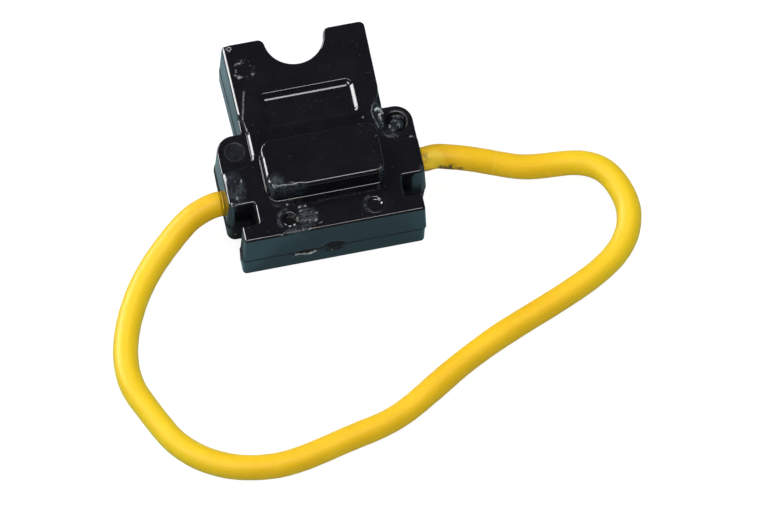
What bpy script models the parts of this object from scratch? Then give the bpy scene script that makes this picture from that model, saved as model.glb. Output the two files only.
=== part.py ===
# Inline blade-fuse holder: two moulded shells, two crimped flag terminals and one loop of wire.
# It lies on its back. +X is across the holder, +Y is towards the mouth and +Z is out of the front.

import math

import bmesh
import bpy
from mathutils import Vector

MM = 0.001

# The fuse that the holder takes
FUSE_WIDTH = 19.1 * MM
FUSE_THICKNESS = 5.1 * MM
FUSE_BLADE_WIDTH = 5.2 * MM
FUSE_BLADE_THICKNESS = 0.65 * MM
FUSE_BLADE_PITCH = 9.7 * MM
FUSE_CLEARANCE = 0.35 * MM

# Plan of the shells at the front face, seen from the front
BODY_LENGTH = 36.05 * MM
CHUTE_WIDTH = 24.05 * MM
CHUTE_CORNER_RADIUS = 0.9 * MM
NOTCH_WIDTH = 10.5 * MM
NOTCH_DEPTH = 5.6 * MM
NOTCH_RADIUS = 5.1 * MM
NOTCH_LIP_RADIUS = 1.15 * MM
EAR_SPAN = 33.6 * MM
EAR_BOTTOM = 6.75 * MM
EAR_SHOULDER = 13.35 * MM
EAR_TOP = 20.05 * MM
EAR_TOP_ROUNDING = 0.63
EAR_FOOT_RADIUS = 0.9 * MM
EAR_FOOT_RADIUS_BACK = 1.4 * MM
WAIST_WIDTH = 21.8 * MM
WAIST_TOP = 20.8 * MM
WAIST_SHOULDER = 23.2 * MM
WAIST_ROUNDING = 0.51
WAIST_TOP_RADIUS = 1.0 * MM
WAIST_SHOULDER_RADIUS = 1.5 * MM
GAP_BOTTOM = 3.05 * MM
GAP_INNER_WIDTH = 24.9 * MM
STRIP_WIDTH = 30.85 * MM
STRIP_FOOT_RADIUS = 0.45 * MM
STRIP_FOOT_RADIUS_BACK = 0.8 * MM
SMALL_RADIUS = 0.45 * MM
LEAST_RADIUS = 0.05 * MM
LARGE_RADIUS = 2.5 * MM

# Levels of the shells
THICKNESS = 13.0 * MM
PARTING_HEIGHT = 4.8 * MM
EAR_STEP = 1.0 * MM
EDGE_FILLET = 0.45 * MM
BACK_FILLET = 0.5 * MM
BACK_INSET = 0.1 * MM
CHUTE_DRAFT = 0.5 * MM
EAR_DRAFT = 0.5 * MM
STRIP_DRAFT = 0.38 * MM
FOOT_DRAFT = 0.1 * MM
EAR_FOOT_DRAFT = 0.35 * MM

# Raised block and sunk panel on the front
BLOCK_WIDTH = 20.2 * MM
BLOCK_BOTTOM = 6.45 * MM
BLOCK_TOP = 15.95 * MM
BLOCK_HEIGHT = 4.0 * MM
BLOCK_CORNER_RADIUS = 1.9 * MM
BLOCK_FILLET = 0.7 * MM
BLOCK_FOOT_FILLET = 0.3 * MM
BLOCK_DRAFT = 0.25 * MM
BLOCK_WALL = 2.0 * MM
PANEL_WIDTH = 15.8 * MM
PANEL_BOTTOM = 19.6 * MM
PANEL_TOP = 26.1 * MM
PANEL_DEPTH = 0.6 * MM
PANEL_RADIUS = 1.6 * MM

# Fuse well
FRONT_WALL = 2.2 * MM
BACK_WALL = 2.0 * MM
WELL_FLOOR = 22.6 * MM
WELL_CORNER_RADIUS = 0.6 * MM
FLOOR_THICKNESS = 1.6 * MM
RIB_WIDTH = 1.2 * MM
RIB_PITCH = 12.4 * MM
RIB_TOP = 29.4 * MM
BLADE_LIFT = 0.05 * MM

# Heat stakes: posts of the back shell, melted over in sunk seats of the front shell.
# The ear stakes stand midway between the waist and the ear's side, and a seat's radius is a
# share of that room. The post and its head are shares of the seat.
EAR_STAKE_Y = 17.1 * MM
FOOT_STAKE_SPACING = 14.9 * MM
FOOT_STAKE_Y = 2.8 * MM
STAKE_SEAT_SHARE = 0.305
STAKE_SEAT_DEPTH = 1.2 * MM
STAKE_POST_SHARE = 0.55
STAKE_HEAD_SHARE = 0.8
STAKE_HEAD_HEIGHT = 0.5 * MM
STAKE_HEAD_SHAPE = [(1.0, 0.0), (1.0, 0.4), (0.85, 0.8), (0.55, 1.0), (0.25, 0.7), (0.0, 0.6)]

# Terminals
SHEET = 0.4 * MM
RECEPTACLE_WIDTH = 7.0 * MM
RECEPTACLE_BOTTOM = 14.1 * MM
ROLL_RADIUS = 0.95 * MM
ROLL_SWEEP = 255.0
FLAG_BOTTOM = 9.9 * MM
NECK_WIDTH = 2.8 * MM
NECK_ROOT = 0.5 * MM
NECK_SHOULDER = 0.1 * MM
NECK_FOOT = 0.2 * MM
CRIMP_SEAM = 12.0
GRIP_OPENING = 120.0
NECK_SHARE = 0.178
CRIMP_SHARE = 0.284
GRIP_GAP_SHARE = 0.071
GRIP_SHARE = 0.237
CORE_BOTTOM = 8.4 * MM
CORE_TOP = 14.0 * MM
CENTRE_WEB = 2.0 * MM

# Wire
WIRE_DIAMETER = 4.25 * MM
STRAND_BUNDLE_DIAMETER = 2.4 * MM
STRAND_COUNT = 7
STRAND_OVERHANG = 0.4 * MM
WIRE_Y = 11.85 * MM
WIRE_FLOAT = 0.6 * MM
WIRE_SPACING = 2.0
WIRE_STRAIGHT = 1.0 * MM

# Working gap between pieces that touch on the real holder
GAP = 0.3 * MM

# How far one solid reaches into another before they are joined, or past a face that it cuts
JOIN_DEPTH = 0.5 * MM
PLATE_JOIN = 2.0 * MM
CUT_REACH = 1.0 * MM
FACE_OFFSET = 0.02 * MM

# The loop's route from the right ear to the left ear, in millimetres, chosen by hand.
# x and y are from the middle of the shells and z is from the surface that they lie on.
LEAD_ROUTE = [
    (19.9, -5.5, 5.17), (21.8, -6.0, 5.54), (23.9, -6.5, 5.36), (26.5, -7.2, 4.67),
    (29.6, -8.1, 3.71), (34.1, -9.4, 2.85), (38.9, -9.8, 2.3), (44.2, -10.4, 2.16),
    (48.0, -12.7, 2.15), (49.8, -16.2, 2.15), (50.4, -20.3, 2.15), (49.0, -24.9, 2.15),
    (45.3, -28.9, 2.15), (39.9, -32.1, 2.15), (32.4, -35.3, 2.15), (24.5, -38.5, 2.15),
    (17.1, -42.1, 2.15), (10.0, -46.3, 2.15), (3.3, -49.8, 2.15), (-3.9, -51.6, 2.15),
    (-10.7, -53.2, 2.15), (-16.7, -54.0, 2.15), (-22.6, -53.3, 2.15), (-28.1, -51.1, 2.15),
    (-32.9, -46.8, 2.15), (-36.0, -41.0, 2.15), (-38.2, -35.5, 2.15), (-38.4, -30.1, 2.15),
    (-37.0, -24.8, 2.15), (-34.6, -19.8, 2.15), (-31.7, -15.7, 2.27), (-28.6, -12.5, 2.85),
    (-25.2, -9.7, 3.71), (-21.9, -7.7, 4.4),
]

Y_ORIGIN = (BODY_LENGTH - FOOT_DRAFT) / 2
X_AXIS = Vector((1, 0, 0))


# Small helpers

def material(name, colour, roughness, metallic=0.0):
    """Makes a Principled material."""
    new = bpy.data.materials.new(name)
    new.use_nodes = True
    shader = new.node_tree.nodes["Principled BSDF"]
    shader.inputs["Base Color"].default_value = (*colour, 1.0)
    shader.inputs["Roughness"].default_value = roughness
    shader.inputs["Metallic"].default_value = metallic
    return new


def add_object(name, bm, finish=None):
    """Turns a bmesh into a named object, with its faces pointing out."""
    bmesh.ops.recalc_face_normals(bm, faces=bm.faces)
    mesh = bpy.data.meshes.new(name)
    bm.to_mesh(mesh)
    bm.free()
    piece = bpy.data.objects.new(name, mesh)
    bpy.context.scene.collection.objects.link(piece)
    if finish:
        mesh.materials.append(finish)
        mesh.shade_smooth()
        mesh.set_sharp_from_angle(angle=math.radians(35))
    return piece


def apply_boolean(piece, operation, tools):
    """Joins or cuts a piece with each tool in turn and clears the tools away."""
    for tool in tools:
        modifier = piece.modifiers.new(operation.title(), "BOOLEAN")
        modifier.operation = operation
        modifier.solver = "EXACT"
        modifier.object = tool
        bpy.context.view_layer.update()
        evaluated = piece.evaluated_get(bpy.context.evaluated_depsgraph_get())
        result = bpy.data.meshes.new_from_object(evaluated)
        piece.modifiers.remove(modifier)
        piece.data = result
        bpy.data.objects.remove(tool)
    piece.data.shade_smooth()
    piece.data.set_sharp_from_angle(angle=math.radians(35))


def rounded_outline(corners, grow=0.0, small_steps=4):
    """Returns a plan outline, moved out by grow, with each corner (x, y, radius) rounded.

    The corners run anticlockwise. An outside corner's radius grows with the outline and an
    inside corner's radius shrinks, as the edges of a moulding do. A large corner gets twice
    the steps of a small one.
    """
    count = len(corners)
    points = []
    for index, (x, y, radius) in enumerate(corners):
        before = Vector(corners[index - 1][:2])
        here = Vector((x, y))
        after = Vector(corners[(index + 1) % count][:2])
        into = (here - before).normalized()
        out = (after - here).normalized()
        turn = into.cross(out)
        normal_in = Vector((into.y, -into.x))
        normal_out = Vector((out.y, -out.x))
        shift = (normal_in + normal_out) * grow / (1 + normal_in.dot(normal_out))
        corner = here + shift
        bend = math.atan2(turn, into.dot(out))
        arc_radius = max(radius + (grow if turn > 0 else -grow), LEAST_RADIUS)
        reach = arc_radius * math.tan(abs(bend) / 2)
        start = corner - into * reach
        centre = start + Vector((-into.y, into.x)) * math.copysign(arc_radius, turn)
        steps = small_steps * 2 if radius > LARGE_RADIUS else small_steps
        for step in range(steps + 1):
            angle = bend * step / steps
            spoke = start - centre
            points.append(centre + Vector((
                spoke.x * math.cos(angle) - spoke.y * math.sin(angle),
                spoke.x * math.sin(angle) + spoke.y * math.cos(angle))))
    return points


def loft(name, levels, finish=None):
    """Makes a closed solid through outlines of equal length, each (z, points)."""
    bm = bmesh.new()
    rings = [[bm.verts.new((p.x, p.y, z)) for p in points] for z, points in levels]
    for lower, upper in zip(rings, rings[1:]):
        for i, vertex in enumerate(lower):
            j = (i + 1) % len(lower)
            bm.faces.new((vertex, lower[j], upper[j], upper[i]))
    bm.faces.new(list(reversed(rings[0])))
    bm.faces.new(rings[-1])
    return add_object(name, bm, finish)


def prism(name, points, start, end, finish=None):
    """Extrudes a closed polygon of 3D points along the vector from start to end."""
    bm = bmesh.new()
    travel = Vector(end) - Vector(start)
    near = [bm.verts.new(Vector(p) + Vector(start)) for p in points]
    far = [bm.verts.new(Vector(p) + Vector(start) + travel) for p in points]
    bm.faces.new(near)
    bm.faces.new(list(reversed(far)))
    for i in range(len(near)):
        j = (i + 1) % len(near)
        bm.faces.new((near[i], far[i], far[j], near[j]))
    return add_object(name, bm, finish)


def block(name, x_range, y_range, z_range):
    """Makes a plain box between the given limits, y from the foot of the shells."""
    points = [(x_range[0], 0, z_range[0]), (x_range[1], 0, z_range[0]),
              (x_range[1], 0, z_range[1]), (x_range[0], 0, z_range[1])]
    return prism(name, points, (0, y_range[0] - Y_ORIGIN, 0), (0, y_range[1] - Y_ORIGIN, 0))


def cylinder_x(name, radius, x_range, y, z, sides=24):
    """Makes a round bar along X, y from the foot of the shells."""
    points = [(0, radius * math.cos(2 * math.pi * i / sides), radius * math.sin(2 * math.pi * i / sides))
              for i in range(sides)]
    centre_y = y - Y_ORIGIN
    return prism(name, points, (x_range[0], centre_y, z), (x_range[1], centre_y, z))


def turned(name, profile, x, y, sides=20):
    """Turns a profile of (radius, z) about a vertical axis, closed on the axis at both ends."""
    bm = bmesh.new()
    base_y = y - Y_ORIGIN
    rings = []
    for radius, z in profile[1:-1]:
        rings.append([bm.verts.new((x + radius * math.cos(2 * math.pi * i / sides),
                                    base_y + radius * math.sin(2 * math.pi * i / sides), z))
                      for i in range(sides)])
    for lower, upper in zip(rings, rings[1:]):
        for i in range(sides):
            j = (i + 1) % sides
            bm.faces.new((lower[i], lower[j], upper[j], upper[i]))
    first = bm.verts.new((x, base_y, profile[0][1]))
    last = bm.verts.new((x, base_y, profile[-1][1]))
    for i in range(sides):
        j = (i + 1) % sides
        bm.faces.new((first, rings[0][j], rings[0][i]))
        bm.faces.new((last, rings[-1][i], rings[-1][j]))
    return add_object(name, bm)


def ribbon(path, thickness):
    """Returns the closed outline of a bent sheet of the given thickness about a 2D path."""
    left, right = [], []
    for i, point in enumerate(path):
        before = path[max(i - 1, 0)]
        after = path[min(i + 1, len(path) - 1)]
        along = (after - before).normalized()
        side = Vector((-along.y, along.x)) * thickness / 2
        left.append(point + side)
        right.append(point - side)
    return left + right[::-1]


def arc(centre, radius, start, sweep, steps):
    """Returns points on an arc, angles in degrees."""
    return [centre + Vector((math.cos(math.radians(start + sweep * i / steps)),
                             math.sin(math.radians(start + sweep * i / steps)))) * radius
            for i in range(steps + 1)]


# Plan outlines of the shells

def shell_corners(flare, sunk_ears):
    """Returns the shells' plan corners, flared from 0 at the front face to 1 at the parting.

    With sunk_ears the plan has the waist that leaves the ears' sunk tops free.
    """
    def y(value):
        return value - Y_ORIGIN

    foot = y(-FOOT_DRAFT * flare)
    mouth = y(BODY_LENGTH)
    ear_foot = y(EAR_BOTTOM - EAR_FOOT_DRAFT * flare)
    strip = STRIP_WIDTH / 2 + STRIP_DRAFT * flare
    ear = EAR_SPAN / 2 + EAR_DRAFT * flare
    chute = CHUTE_WIDTH / 2 + CHUTE_DRAFT * flare
    foot_radius = EAR_FOOT_RADIUS + (EAR_FOOT_RADIUS_BACK - EAR_FOOT_RADIUS) * flare
    strip_radius = STRIP_FOOT_RADIUS + (STRIP_FOOT_RADIUS_BACK - STRIP_FOOT_RADIUS) * flare
    right = [
        (strip, foot, strip_radius),
        (strip, y(GAP_BOTTOM), SMALL_RADIUS),
        (GAP_INNER_WIDTH / 2, y(GAP_BOTTOM), SMALL_RADIUS),
        (GAP_INNER_WIDTH / 2, ear_foot, SMALL_RADIUS),
        (ear, ear_foot, foot_radius),
    ]
    if sunk_ears:
        right += [
            (ear, y(EAR_SHOULDER), SMALL_RADIUS),
            (WAIST_WIDTH / 2, y(EAR_SHOULDER), WAIST_ROUNDING * ear_depth()),
            (WAIST_WIDTH / 2, y(WAIST_TOP), WAIST_TOP_RADIUS),
            (chute, y(WAIST_SHOULDER), WAIST_SHOULDER_RADIUS),
        ]
    else:
        right += [
            (ear, y(EAR_TOP), ear_top_radius()),
            (chute, y(EAR_TOP), SMALL_RADIUS),
        ]
    right += [
        (chute, mouth, CHUTE_CORNER_RADIUS),
        (NOTCH_WIDTH / 2, mouth, NOTCH_LIP_RADIUS),
        (NOTCH_WIDTH / 2, y(BODY_LENGTH - NOTCH_DEPTH), NOTCH_RADIUS),
    ]
    left = [(-x, y_value, radius) for x, y_value, radius in reversed(right)]
    return right + left


def ear_depth():
    """How far the ear stands out from the waist."""
    return (EAR_SPAN - WAIST_WIDTH) / 2


def ear_top_radius():
    """The ear's top corner radius, a share of how far the ear stands out from the chute."""
    return EAR_TOP_ROUNDING * (EAR_SPAN - CHUTE_WIDTH) / 2


def flare_at(z):
    """How far the front shell's draft has gone at a height: 0 at the front, 1 at the parting."""
    return (THICKNESS - z) / (THICKNESS - PARTING_HEIGHT)


def filleted_levels(corners_at, bottom, top, fillet):
    """Returns loft levels from bottom to top with a rounded top edge."""
    levels = [(bottom, rounded_outline(corners_at(bottom)))]
    for turn in (0, 30, 60, 90):
        angle = math.radians(turn)
        z = top - fillet * (1 - math.sin(angle))
        levels.append((z, rounded_outline(corners_at(z), -fillet * (1 - math.cos(angle)))))
    return levels


# Moulded shells

def make_front_blank():
    """The front shell's outside: walls, ear plates and the raised block."""
    base = PARTING_HEIGHT + GAP / 2
    blank = loft("front_shell", filleted_levels(
        lambda z: shell_corners(flare_at(z), True), base, THICKNESS, EDGE_FILLET))
    ears = [make_ear_plate(side, base) for side in (-1, 1)]
    apply_boolean(blank, "UNION", ears + [make_raised_block()])
    return blank


def make_ear_plate(side, base):
    """The sunk part of one ear, from the parting up to the step below the front face."""
    inner = WAIST_WIDTH / 2 - PLATE_JOIN

    def corners_at(z):
        outer = EAR_SPAN / 2 + EAR_DRAFT * flare_at(z) - FACE_OFFSET
        lower = EAR_SHOULDER - PLATE_JOIN - Y_ORIGIN
        upper = EAR_TOP - Y_ORIGIN
        right = [(inner, lower, SMALL_RADIUS), (outer, lower, SMALL_RADIUS),
                 (outer, upper, ear_top_radius()), (inner, upper, SMALL_RADIUS)]
        if side > 0:
            return right
        return [(-x, y, radius) for x, y, radius in reversed(right)]

    top = THICKNESS - EAR_STEP
    return loft("ear_plate", filleted_levels(corners_at, base, top, EDGE_FILLET))


def block_corners(half_width, bottom, top, radius):
    """Corners of a plain rounded rectangle centred on X."""
    low = bottom - Y_ORIGIN
    high = top - Y_ORIGIN
    return [(half_width, low, radius), (half_width, high, radius),
            (-half_width, high, radius), (-half_width, low, radius)]


def make_raised_block():
    """The raised block over the terminals, with a rounded rim and a small fillet at its foot."""
    corners = block_corners(BLOCK_WIDTH / 2, BLOCK_BOTTOM, BLOCK_TOP, BLOCK_CORNER_RADIUS)
    top = THICKNESS + BLOCK_HEIGHT
    foot = BLOCK_FOOT_FILLET
    levels = [
        (THICKNESS - EAR_STEP, rounded_outline(corners, 0.0)),
        (THICKNESS - FACE_OFFSET, rounded_outline(corners, foot)),
        (THICKNESS + foot * 0.3, rounded_outline(corners, foot * 0.3)),
        (THICKNESS + foot, rounded_outline(corners, 0.0)),
    ]
    for turn in (0, 30, 60, 90):
        angle = math.radians(turn)
        z = top - BLOCK_FILLET * (1 - math.sin(angle))
        grow = -BLOCK_DRAFT - BLOCK_FILLET * (1 - math.cos(angle))
        levels.append((z, rounded_outline(corners, grow)))
    return loft("raised_block", levels)


def make_panel_cutter():
    """The sunk panel above the block, with sloping sides."""
    corners = block_corners(PANEL_WIDTH / 2, PANEL_BOTTOM, PANEL_TOP, PANEL_RADIUS)
    return loft("panel_cutter", [
        (THICKNESS - PANEL_DEPTH, rounded_outline(corners, -PANEL_DEPTH)),
        (THICKNESS - PANEL_DEPTH * 0.8, rounded_outline(corners, -PANEL_DEPTH * 0.75)),
        (THICKNESS, rounded_outline(corners, 0.0)),
        (THICKNESS + PANEL_DEPTH, rounded_outline(corners, PANEL_DEPTH)),
    ])


def fuse_mid_height():
    """Height of the fuse's mid plane: its blades lie on the terminals' floors."""
    return PARTING_HEIGHT + GAP / 2 + SHEET + BLADE_LIFT + FUSE_BLADE_THICKNESS / 2


def well_half_width():
    return FUSE_WIDTH / 2 + FUSE_CLEARANCE


def make_well_cutter():
    """The room that the fuse's body drops into, open at the mouth."""
    half = well_half_width()
    low = BACK_WALL
    high = THICKNESS - FRONT_WALL
    radius = WELL_CORNER_RADIUS
    outline = rounded_outline([(half, low, radius), (half, high, radius),
                               (-half, high, radius), (-half, low, radius)], small_steps=3)
    points = [(p.x, 0, p.y) for p in outline]
    start = (0, WELL_FLOOR - Y_ORIGIN, 0)
    end = (0, BODY_LENGTH + FUSE_WIDTH - Y_ORIGIN, 0)
    return prism("well_cutter", points, start, end)


def make_ribs(z_wall, z_edge):
    """Two ribs on a wall of the well that hold the fuse's body to its mid plane."""
    ribs = []
    for side in (-1, 1):
        x = side * RIB_PITCH / 2
        ribs.append(block("rib", (x - RIB_WIDTH / 2, x + RIB_WIDTH / 2),
                          (WELL_FLOOR - JOIN_DEPTH, RIB_TOP), sorted((z_wall, z_edge))))
    return ribs


def make_blade_slots():
    """Two slots through the well's floor for the fuse's blades."""
    half = FUSE_BLADE_WIDTH / 2 + FUSE_CLEARANCE
    top = fuse_mid_height() + FUSE_BLADE_THICKNESS / 2 + FUSE_CLEARANCE
    slots = []
    for side in (-1, 1):
        x = side * FUSE_BLADE_PITCH / 2
        slots.append(block("slot", (x - half, x + half),
                           (WELL_FLOOR - FLOOR_THICKNESS - CUT_REACH, WELL_FLOOR + CUT_REACH),
                           (PARTING_HEIGHT - CUT_REACH, top)))
    return slots


def stake_places():
    """Each stake as x, y and the height of the face around its seat."""
    ear_x = (WAIST_WIDTH + EAR_SPAN) / 4
    places = []
    for side in (-1, 1):
        places.append((side * ear_x, EAR_STAKE_Y, THICKNESS - EAR_STEP))
        places.append((side * FOOT_STAKE_SPACING / 2, FOOT_STAKE_Y, THICKNESS))
    return places


def seat_radius():
    return STAKE_SEAT_SHARE * ear_depth()


def make_stake_cutters():
    """A sunk seat and a clearance hole for each stake, as one turned cutter."""
    cutters = []
    for x, y, face in stake_places():
        floor = face - STAKE_SEAT_DEPTH
        hole = STAKE_POST_SHARE * seat_radius() + GAP
        low = PARTING_HEIGHT - CUT_REACH
        high = face + CUT_REACH
        profile = [(0, low), (hole, low), (hole, floor), (seat_radius(), floor),
                   (seat_radius(), high), (0, high)]
        cutters.append(turned("stake_cutter", profile, x, y))
    return cutters


def make_stakes():
    """The back shell's posts, each with its melted head over the seat in the front shell."""
    post = STAKE_POST_SHARE * seat_radius()
    head = STAKE_HEAD_SHARE * seat_radius()
    stakes = []
    for x, y, face in stake_places():
        seat = face - STAKE_SEAT_DEPTH + GAP
        profile = [(0, BACK_WALL), (post, BACK_WALL), (post, seat)]
        profile += [(head * reach, seat + STAKE_HEAD_HEIGHT * rise)
                    for reach, rise in STAKE_HEAD_SHAPE]
        stakes.append(turned("stake", profile, x, y))
    return stakes


def crimp_radius():
    """Middle radius of the conductor crimp's sheet."""
    return STRAND_BUNDLE_DIAMETER / 2 + GAP + SHEET / 2


def grip_radius():
    """Middle radius of the insulation grip's sheet."""
    return WIRE_DIAMETER / 2 + GAP + SHEET / 2


def receptacle_edge():
    """Outer X of the right receptacle."""
    return FUSE_BLADE_PITCH / 2 + RECEPTACLE_WIDTH / 2


def ear_room():
    """The run from the receptacle to the ear's face, which the neck, crimp and grip share."""
    return EAR_SPAN / 2 - receptacle_edge()


def crimp_start():
    return receptacle_edge() + NECK_SHARE * ear_room()


def crimp_end():
    return crimp_start() + CRIMP_SHARE * ear_room()


def grip_start():
    return crimp_end() + GRIP_GAP_SHARE * ear_room()


def grip_end():
    return grip_start() + GRIP_SHARE * ear_room()


def roll_height():
    """Height of the centre that the receptacle's edges are rolled about."""
    return PARTING_HEIGHT + GAP / 2 + SHEET / 2 + ROLL_RADIUS


def make_terminal_pockets(side):
    """Room for one terminal and the end of the wire, cut from both shells."""
    def span(low, high):
        return (low, high) if side > 0 else (-high, -low)

    inner = CENTRE_WEB / 2
    outer = receptacle_edge() + GAP
    ceiling = roll_height() + ROLL_RADIUS + SHEET / 2 + GAP
    parting_top = PARTING_HEIGHT + GAP / 2
    pockets = [
        block("receptacle_pocket", span(inner, outer),
              (CORE_BOTTOM, WELL_FLOOR - FLOOR_THICKNESS), (parting_top - GAP, ceiling)),
        block("block_core", span(inner, BLOCK_WIDTH / 2 - BLOCK_WALL),
              (CORE_BOTTOM, CORE_TOP), (parting_top, THICKNESS + BLOCK_HEIGHT - BLOCK_WALL)),
    ]
    crimp_room = crimp_radius() + SHEET / 2 + GAP
    pockets.append(block("crimp_pocket", span(receptacle_edge() - JOIN_DEPTH, grip_start()),
                         (WIRE_Y - crimp_room, WIRE_Y + crimp_room),
                         (PARTING_HEIGHT - crimp_room, PARTING_HEIGHT + crimp_room)))
    grip_room = grip_radius() + SHEET / 2 + GAP
    pockets.append(block("grip_pocket",
                         span(crimp_end() - GAP, grip_end() + GAP),
                         (WIRE_Y - grip_room, WIRE_Y + grip_room),
                         (PARTING_HEIGHT - grip_room, PARTING_HEIGHT + grip_room)))
    pockets.append(cylinder_x("wire_hole", WIRE_DIAMETER / 2 + GAP + WIRE_FLOAT,
                              span(grip_end(), EAR_SPAN), WIRE_Y, PARTING_HEIGHT))
    return pockets


def make_front_shell(finish):
    """The deep moulding that shows from the front."""
    shell = make_front_blank()
    cutters = [make_panel_cutter(), make_well_cutter()]
    cutters += make_blade_slots() + make_stake_cutters()
    cutters += make_terminal_pockets(-1) + make_terminal_pockets(1)
    apply_boolean(shell, "DIFFERENCE", cutters)
    wall = THICKNESS - FRONT_WALL
    edge = fuse_mid_height() + FUSE_THICKNESS / 2 + FUSE_CLEARANCE
    apply_boolean(shell, "UNION", make_ribs(wall + JOIN_DEPTH, edge))
    shell.data.materials.append(finish)
    return shell


def make_back_shell(finish):
    """The shallow moulding with the four posts that the front shell is staked to."""
    top = PARTING_HEIGHT - GAP / 2

    def corners_at(z):
        return shell_corners(1.0, False)

    levels = []
    for turn in (90, 60, 30, 0):
        angle = math.radians(turn)
        z = BACK_FILLET * (1 - math.sin(angle))
        grow = -BACK_INSET - BACK_FILLET * (1 - math.cos(angle))
        levels.append((z, rounded_outline(corners_at(z), grow)))
    levels.append((top, rounded_outline(corners_at(top), -BACK_INSET)))
    shell = loft("back_shell", levels)
    cutters = [make_well_cutter()] + make_terminal_pockets(-1) + make_terminal_pockets(1)
    apply_boolean(shell, "DIFFERENCE", cutters)
    edge = fuse_mid_height() - FUSE_THICKNESS / 2 - FUSE_CLEARANCE
    apply_boolean(shell, "UNION", make_ribs(BACK_WALL - JOIN_DEPTH, edge) + make_stakes())
    shell.data.materials.append(finish)
    return shell


# Terminals and wire

def make_receptacle(side):
    """The floor and the two rolled edges that grip a fuse blade."""
    middle = side * FUSE_BLADE_PITCH / 2
    half = RECEPTACLE_WIDTH / 2 - SHEET / 2
    height = roll_height()
    right = arc(Vector((middle + half - ROLL_RADIUS, height)), ROLL_RADIUS, -90, ROLL_SWEEP, 14)
    left = arc(Vector((middle - half + ROLL_RADIUS, height)), ROLL_RADIUS, 270, -ROLL_SWEEP, 14)
    points = [(p.x, 0, p.y) for p in ribbon(left[::-1] + right, SHEET)]
    start = (0, RECEPTACLE_BOTTOM - Y_ORIGIN, 0)
    end = (0, WELL_FLOOR - FLOOR_THICKNESS - GAP - Y_ORIGIN, 0)
    return prism("receptacle", points, start, end)


def make_flag(side):
    """The flat plate that runs down from the receptacle to the crimp's neck."""
    middle = side * FUSE_BLADE_PITCH / 2
    half = RECEPTACLE_WIDTH / 2 - SHEET / 2 - ROLL_RADIUS
    low = PARTING_HEIGHT + GAP / 2
    return block("flag", (middle - half, middle + half),
                 (FLAG_BOTTOM, RECEPTACLE_BOTTOM + JOIN_DEPTH), (low, low + SHEET))


def make_neck(side):
    """The stepped neck from the flag down to the crimp's floor, and on to the grip's floor."""
    plate = PARTING_HEIGHT + GAP / 2 + SHEET / 2
    crimp_floor = PARTING_HEIGHT - crimp_radius()
    grip_floor = PARTING_HEIGHT - grip_radius()
    path = [
        Vector((receptacle_edge() - SHEET / 2 - ROLL_RADIUS - NECK_ROOT, plate)),
        Vector((receptacle_edge() - NECK_SHOULDER, plate)),
        Vector((crimp_start() - NECK_FOOT, crimp_floor)),
        Vector((crimp_end(), crimp_floor)),
        Vector((grip_start(), grip_floor)),
        Vector(((grip_start() + grip_end()) / 2, grip_floor)),
    ]
    points = [(side * p.x, 0, p.y) for p in ribbon(path, SHEET)]
    start = (0, WIRE_Y - NECK_WIDTH / 2 - Y_ORIGIN, 0)
    end = (0, WIRE_Y + NECK_WIDTH / 2 - Y_ORIGIN, 0)
    return prism("neck", points, start, end)


def make_barrel(name, side, radius, opening, x_range):
    """An open sheet-metal barrel about the wire, its seam towards the front."""
    centre = Vector((WIRE_Y - Y_ORIGIN, PARTING_HEIGHT))
    path = arc(centre, radius, 90 + opening / 2, 360 - opening, 22)
    points = [(0, p.x, p.y) for p in ribbon(path, SHEET)]
    low, high = x_range if side > 0 else (-x_range[1], -x_range[0])
    return prism(name, points, (low, 0, 0), (high, 0, 0))


def make_terminal(name, side, finish):
    """One folded flag terminal, its receptacle facing the mouth and its crimp facing the ear."""
    terminal = make_receptacle(side)
    terminal.name = name
    crimp = make_barrel("crimp", side, crimp_radius(), CRIMP_SEAM,
                        (crimp_start(), crimp_end()))
    grip = make_barrel("grip", side, grip_radius(), GRIP_OPENING, (grip_start(), grip_end()))
    apply_boolean(terminal, "UNION", [make_flag(side), make_neck(side), crimp, grip])
    terminal.data.name = name
    terminal.data.materials.append(finish)
    return terminal


def wire_end(side):
    """Where the free wire starts, a gap outside the ear."""
    face = EAR_SPAN / 2 + EAR_DRAFT
    return Vector((side * (face + GAP), WIRE_Y + side * WIRE_FLOAT - Y_ORIGIN, PARTING_HEIGHT))


def make_strands(name, side, finish):
    """The bare strands in the crimp, as a lobed bundle."""
    lobes = STRAND_COUNT - 1
    strand = STRAND_BUNDLE_DIAMETER / 6
    points = []
    for lobe in range(lobes):
        heading = 360 * lobe / lobes
        hub = Vector((math.cos(math.radians(heading)), math.sin(math.radians(heading)))) * strand * 2
        points += [(0, p.x, p.y) for p in arc(hub, strand, heading - 80, 160, 5)]
    centre_y = WIRE_Y - Y_ORIGIN
    low = side * (crimp_start() - STRAND_OVERHANG)
    high = side * (grip_start() + GAP)
    start = (low, centre_y, PARTING_HEIGHT)
    end = (high, centre_y, PARTING_HEIGHT)
    return prism(name, points, start, end, finish)


def add_tube(name, points, radius, finish):
    """A round tube with closed ends along the given points."""
    curve = bpy.data.curves.new(name, "CURVE")
    curve.dimensions = "3D"
    curve.bevel_depth = radius
    curve.bevel_resolution = 3
    curve.use_fill_caps = True
    spline = curve.splines.new("POLY")
    spline.points.add(len(points) - 1)
    for target, point in zip(spline.points, points):
        target.co = (*point, 1.0)
    curve.materials.append(finish)
    tube = bpy.data.objects.new(name, curve)
    bpy.context.scene.collection.objects.link(tube)
    return tube


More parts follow.
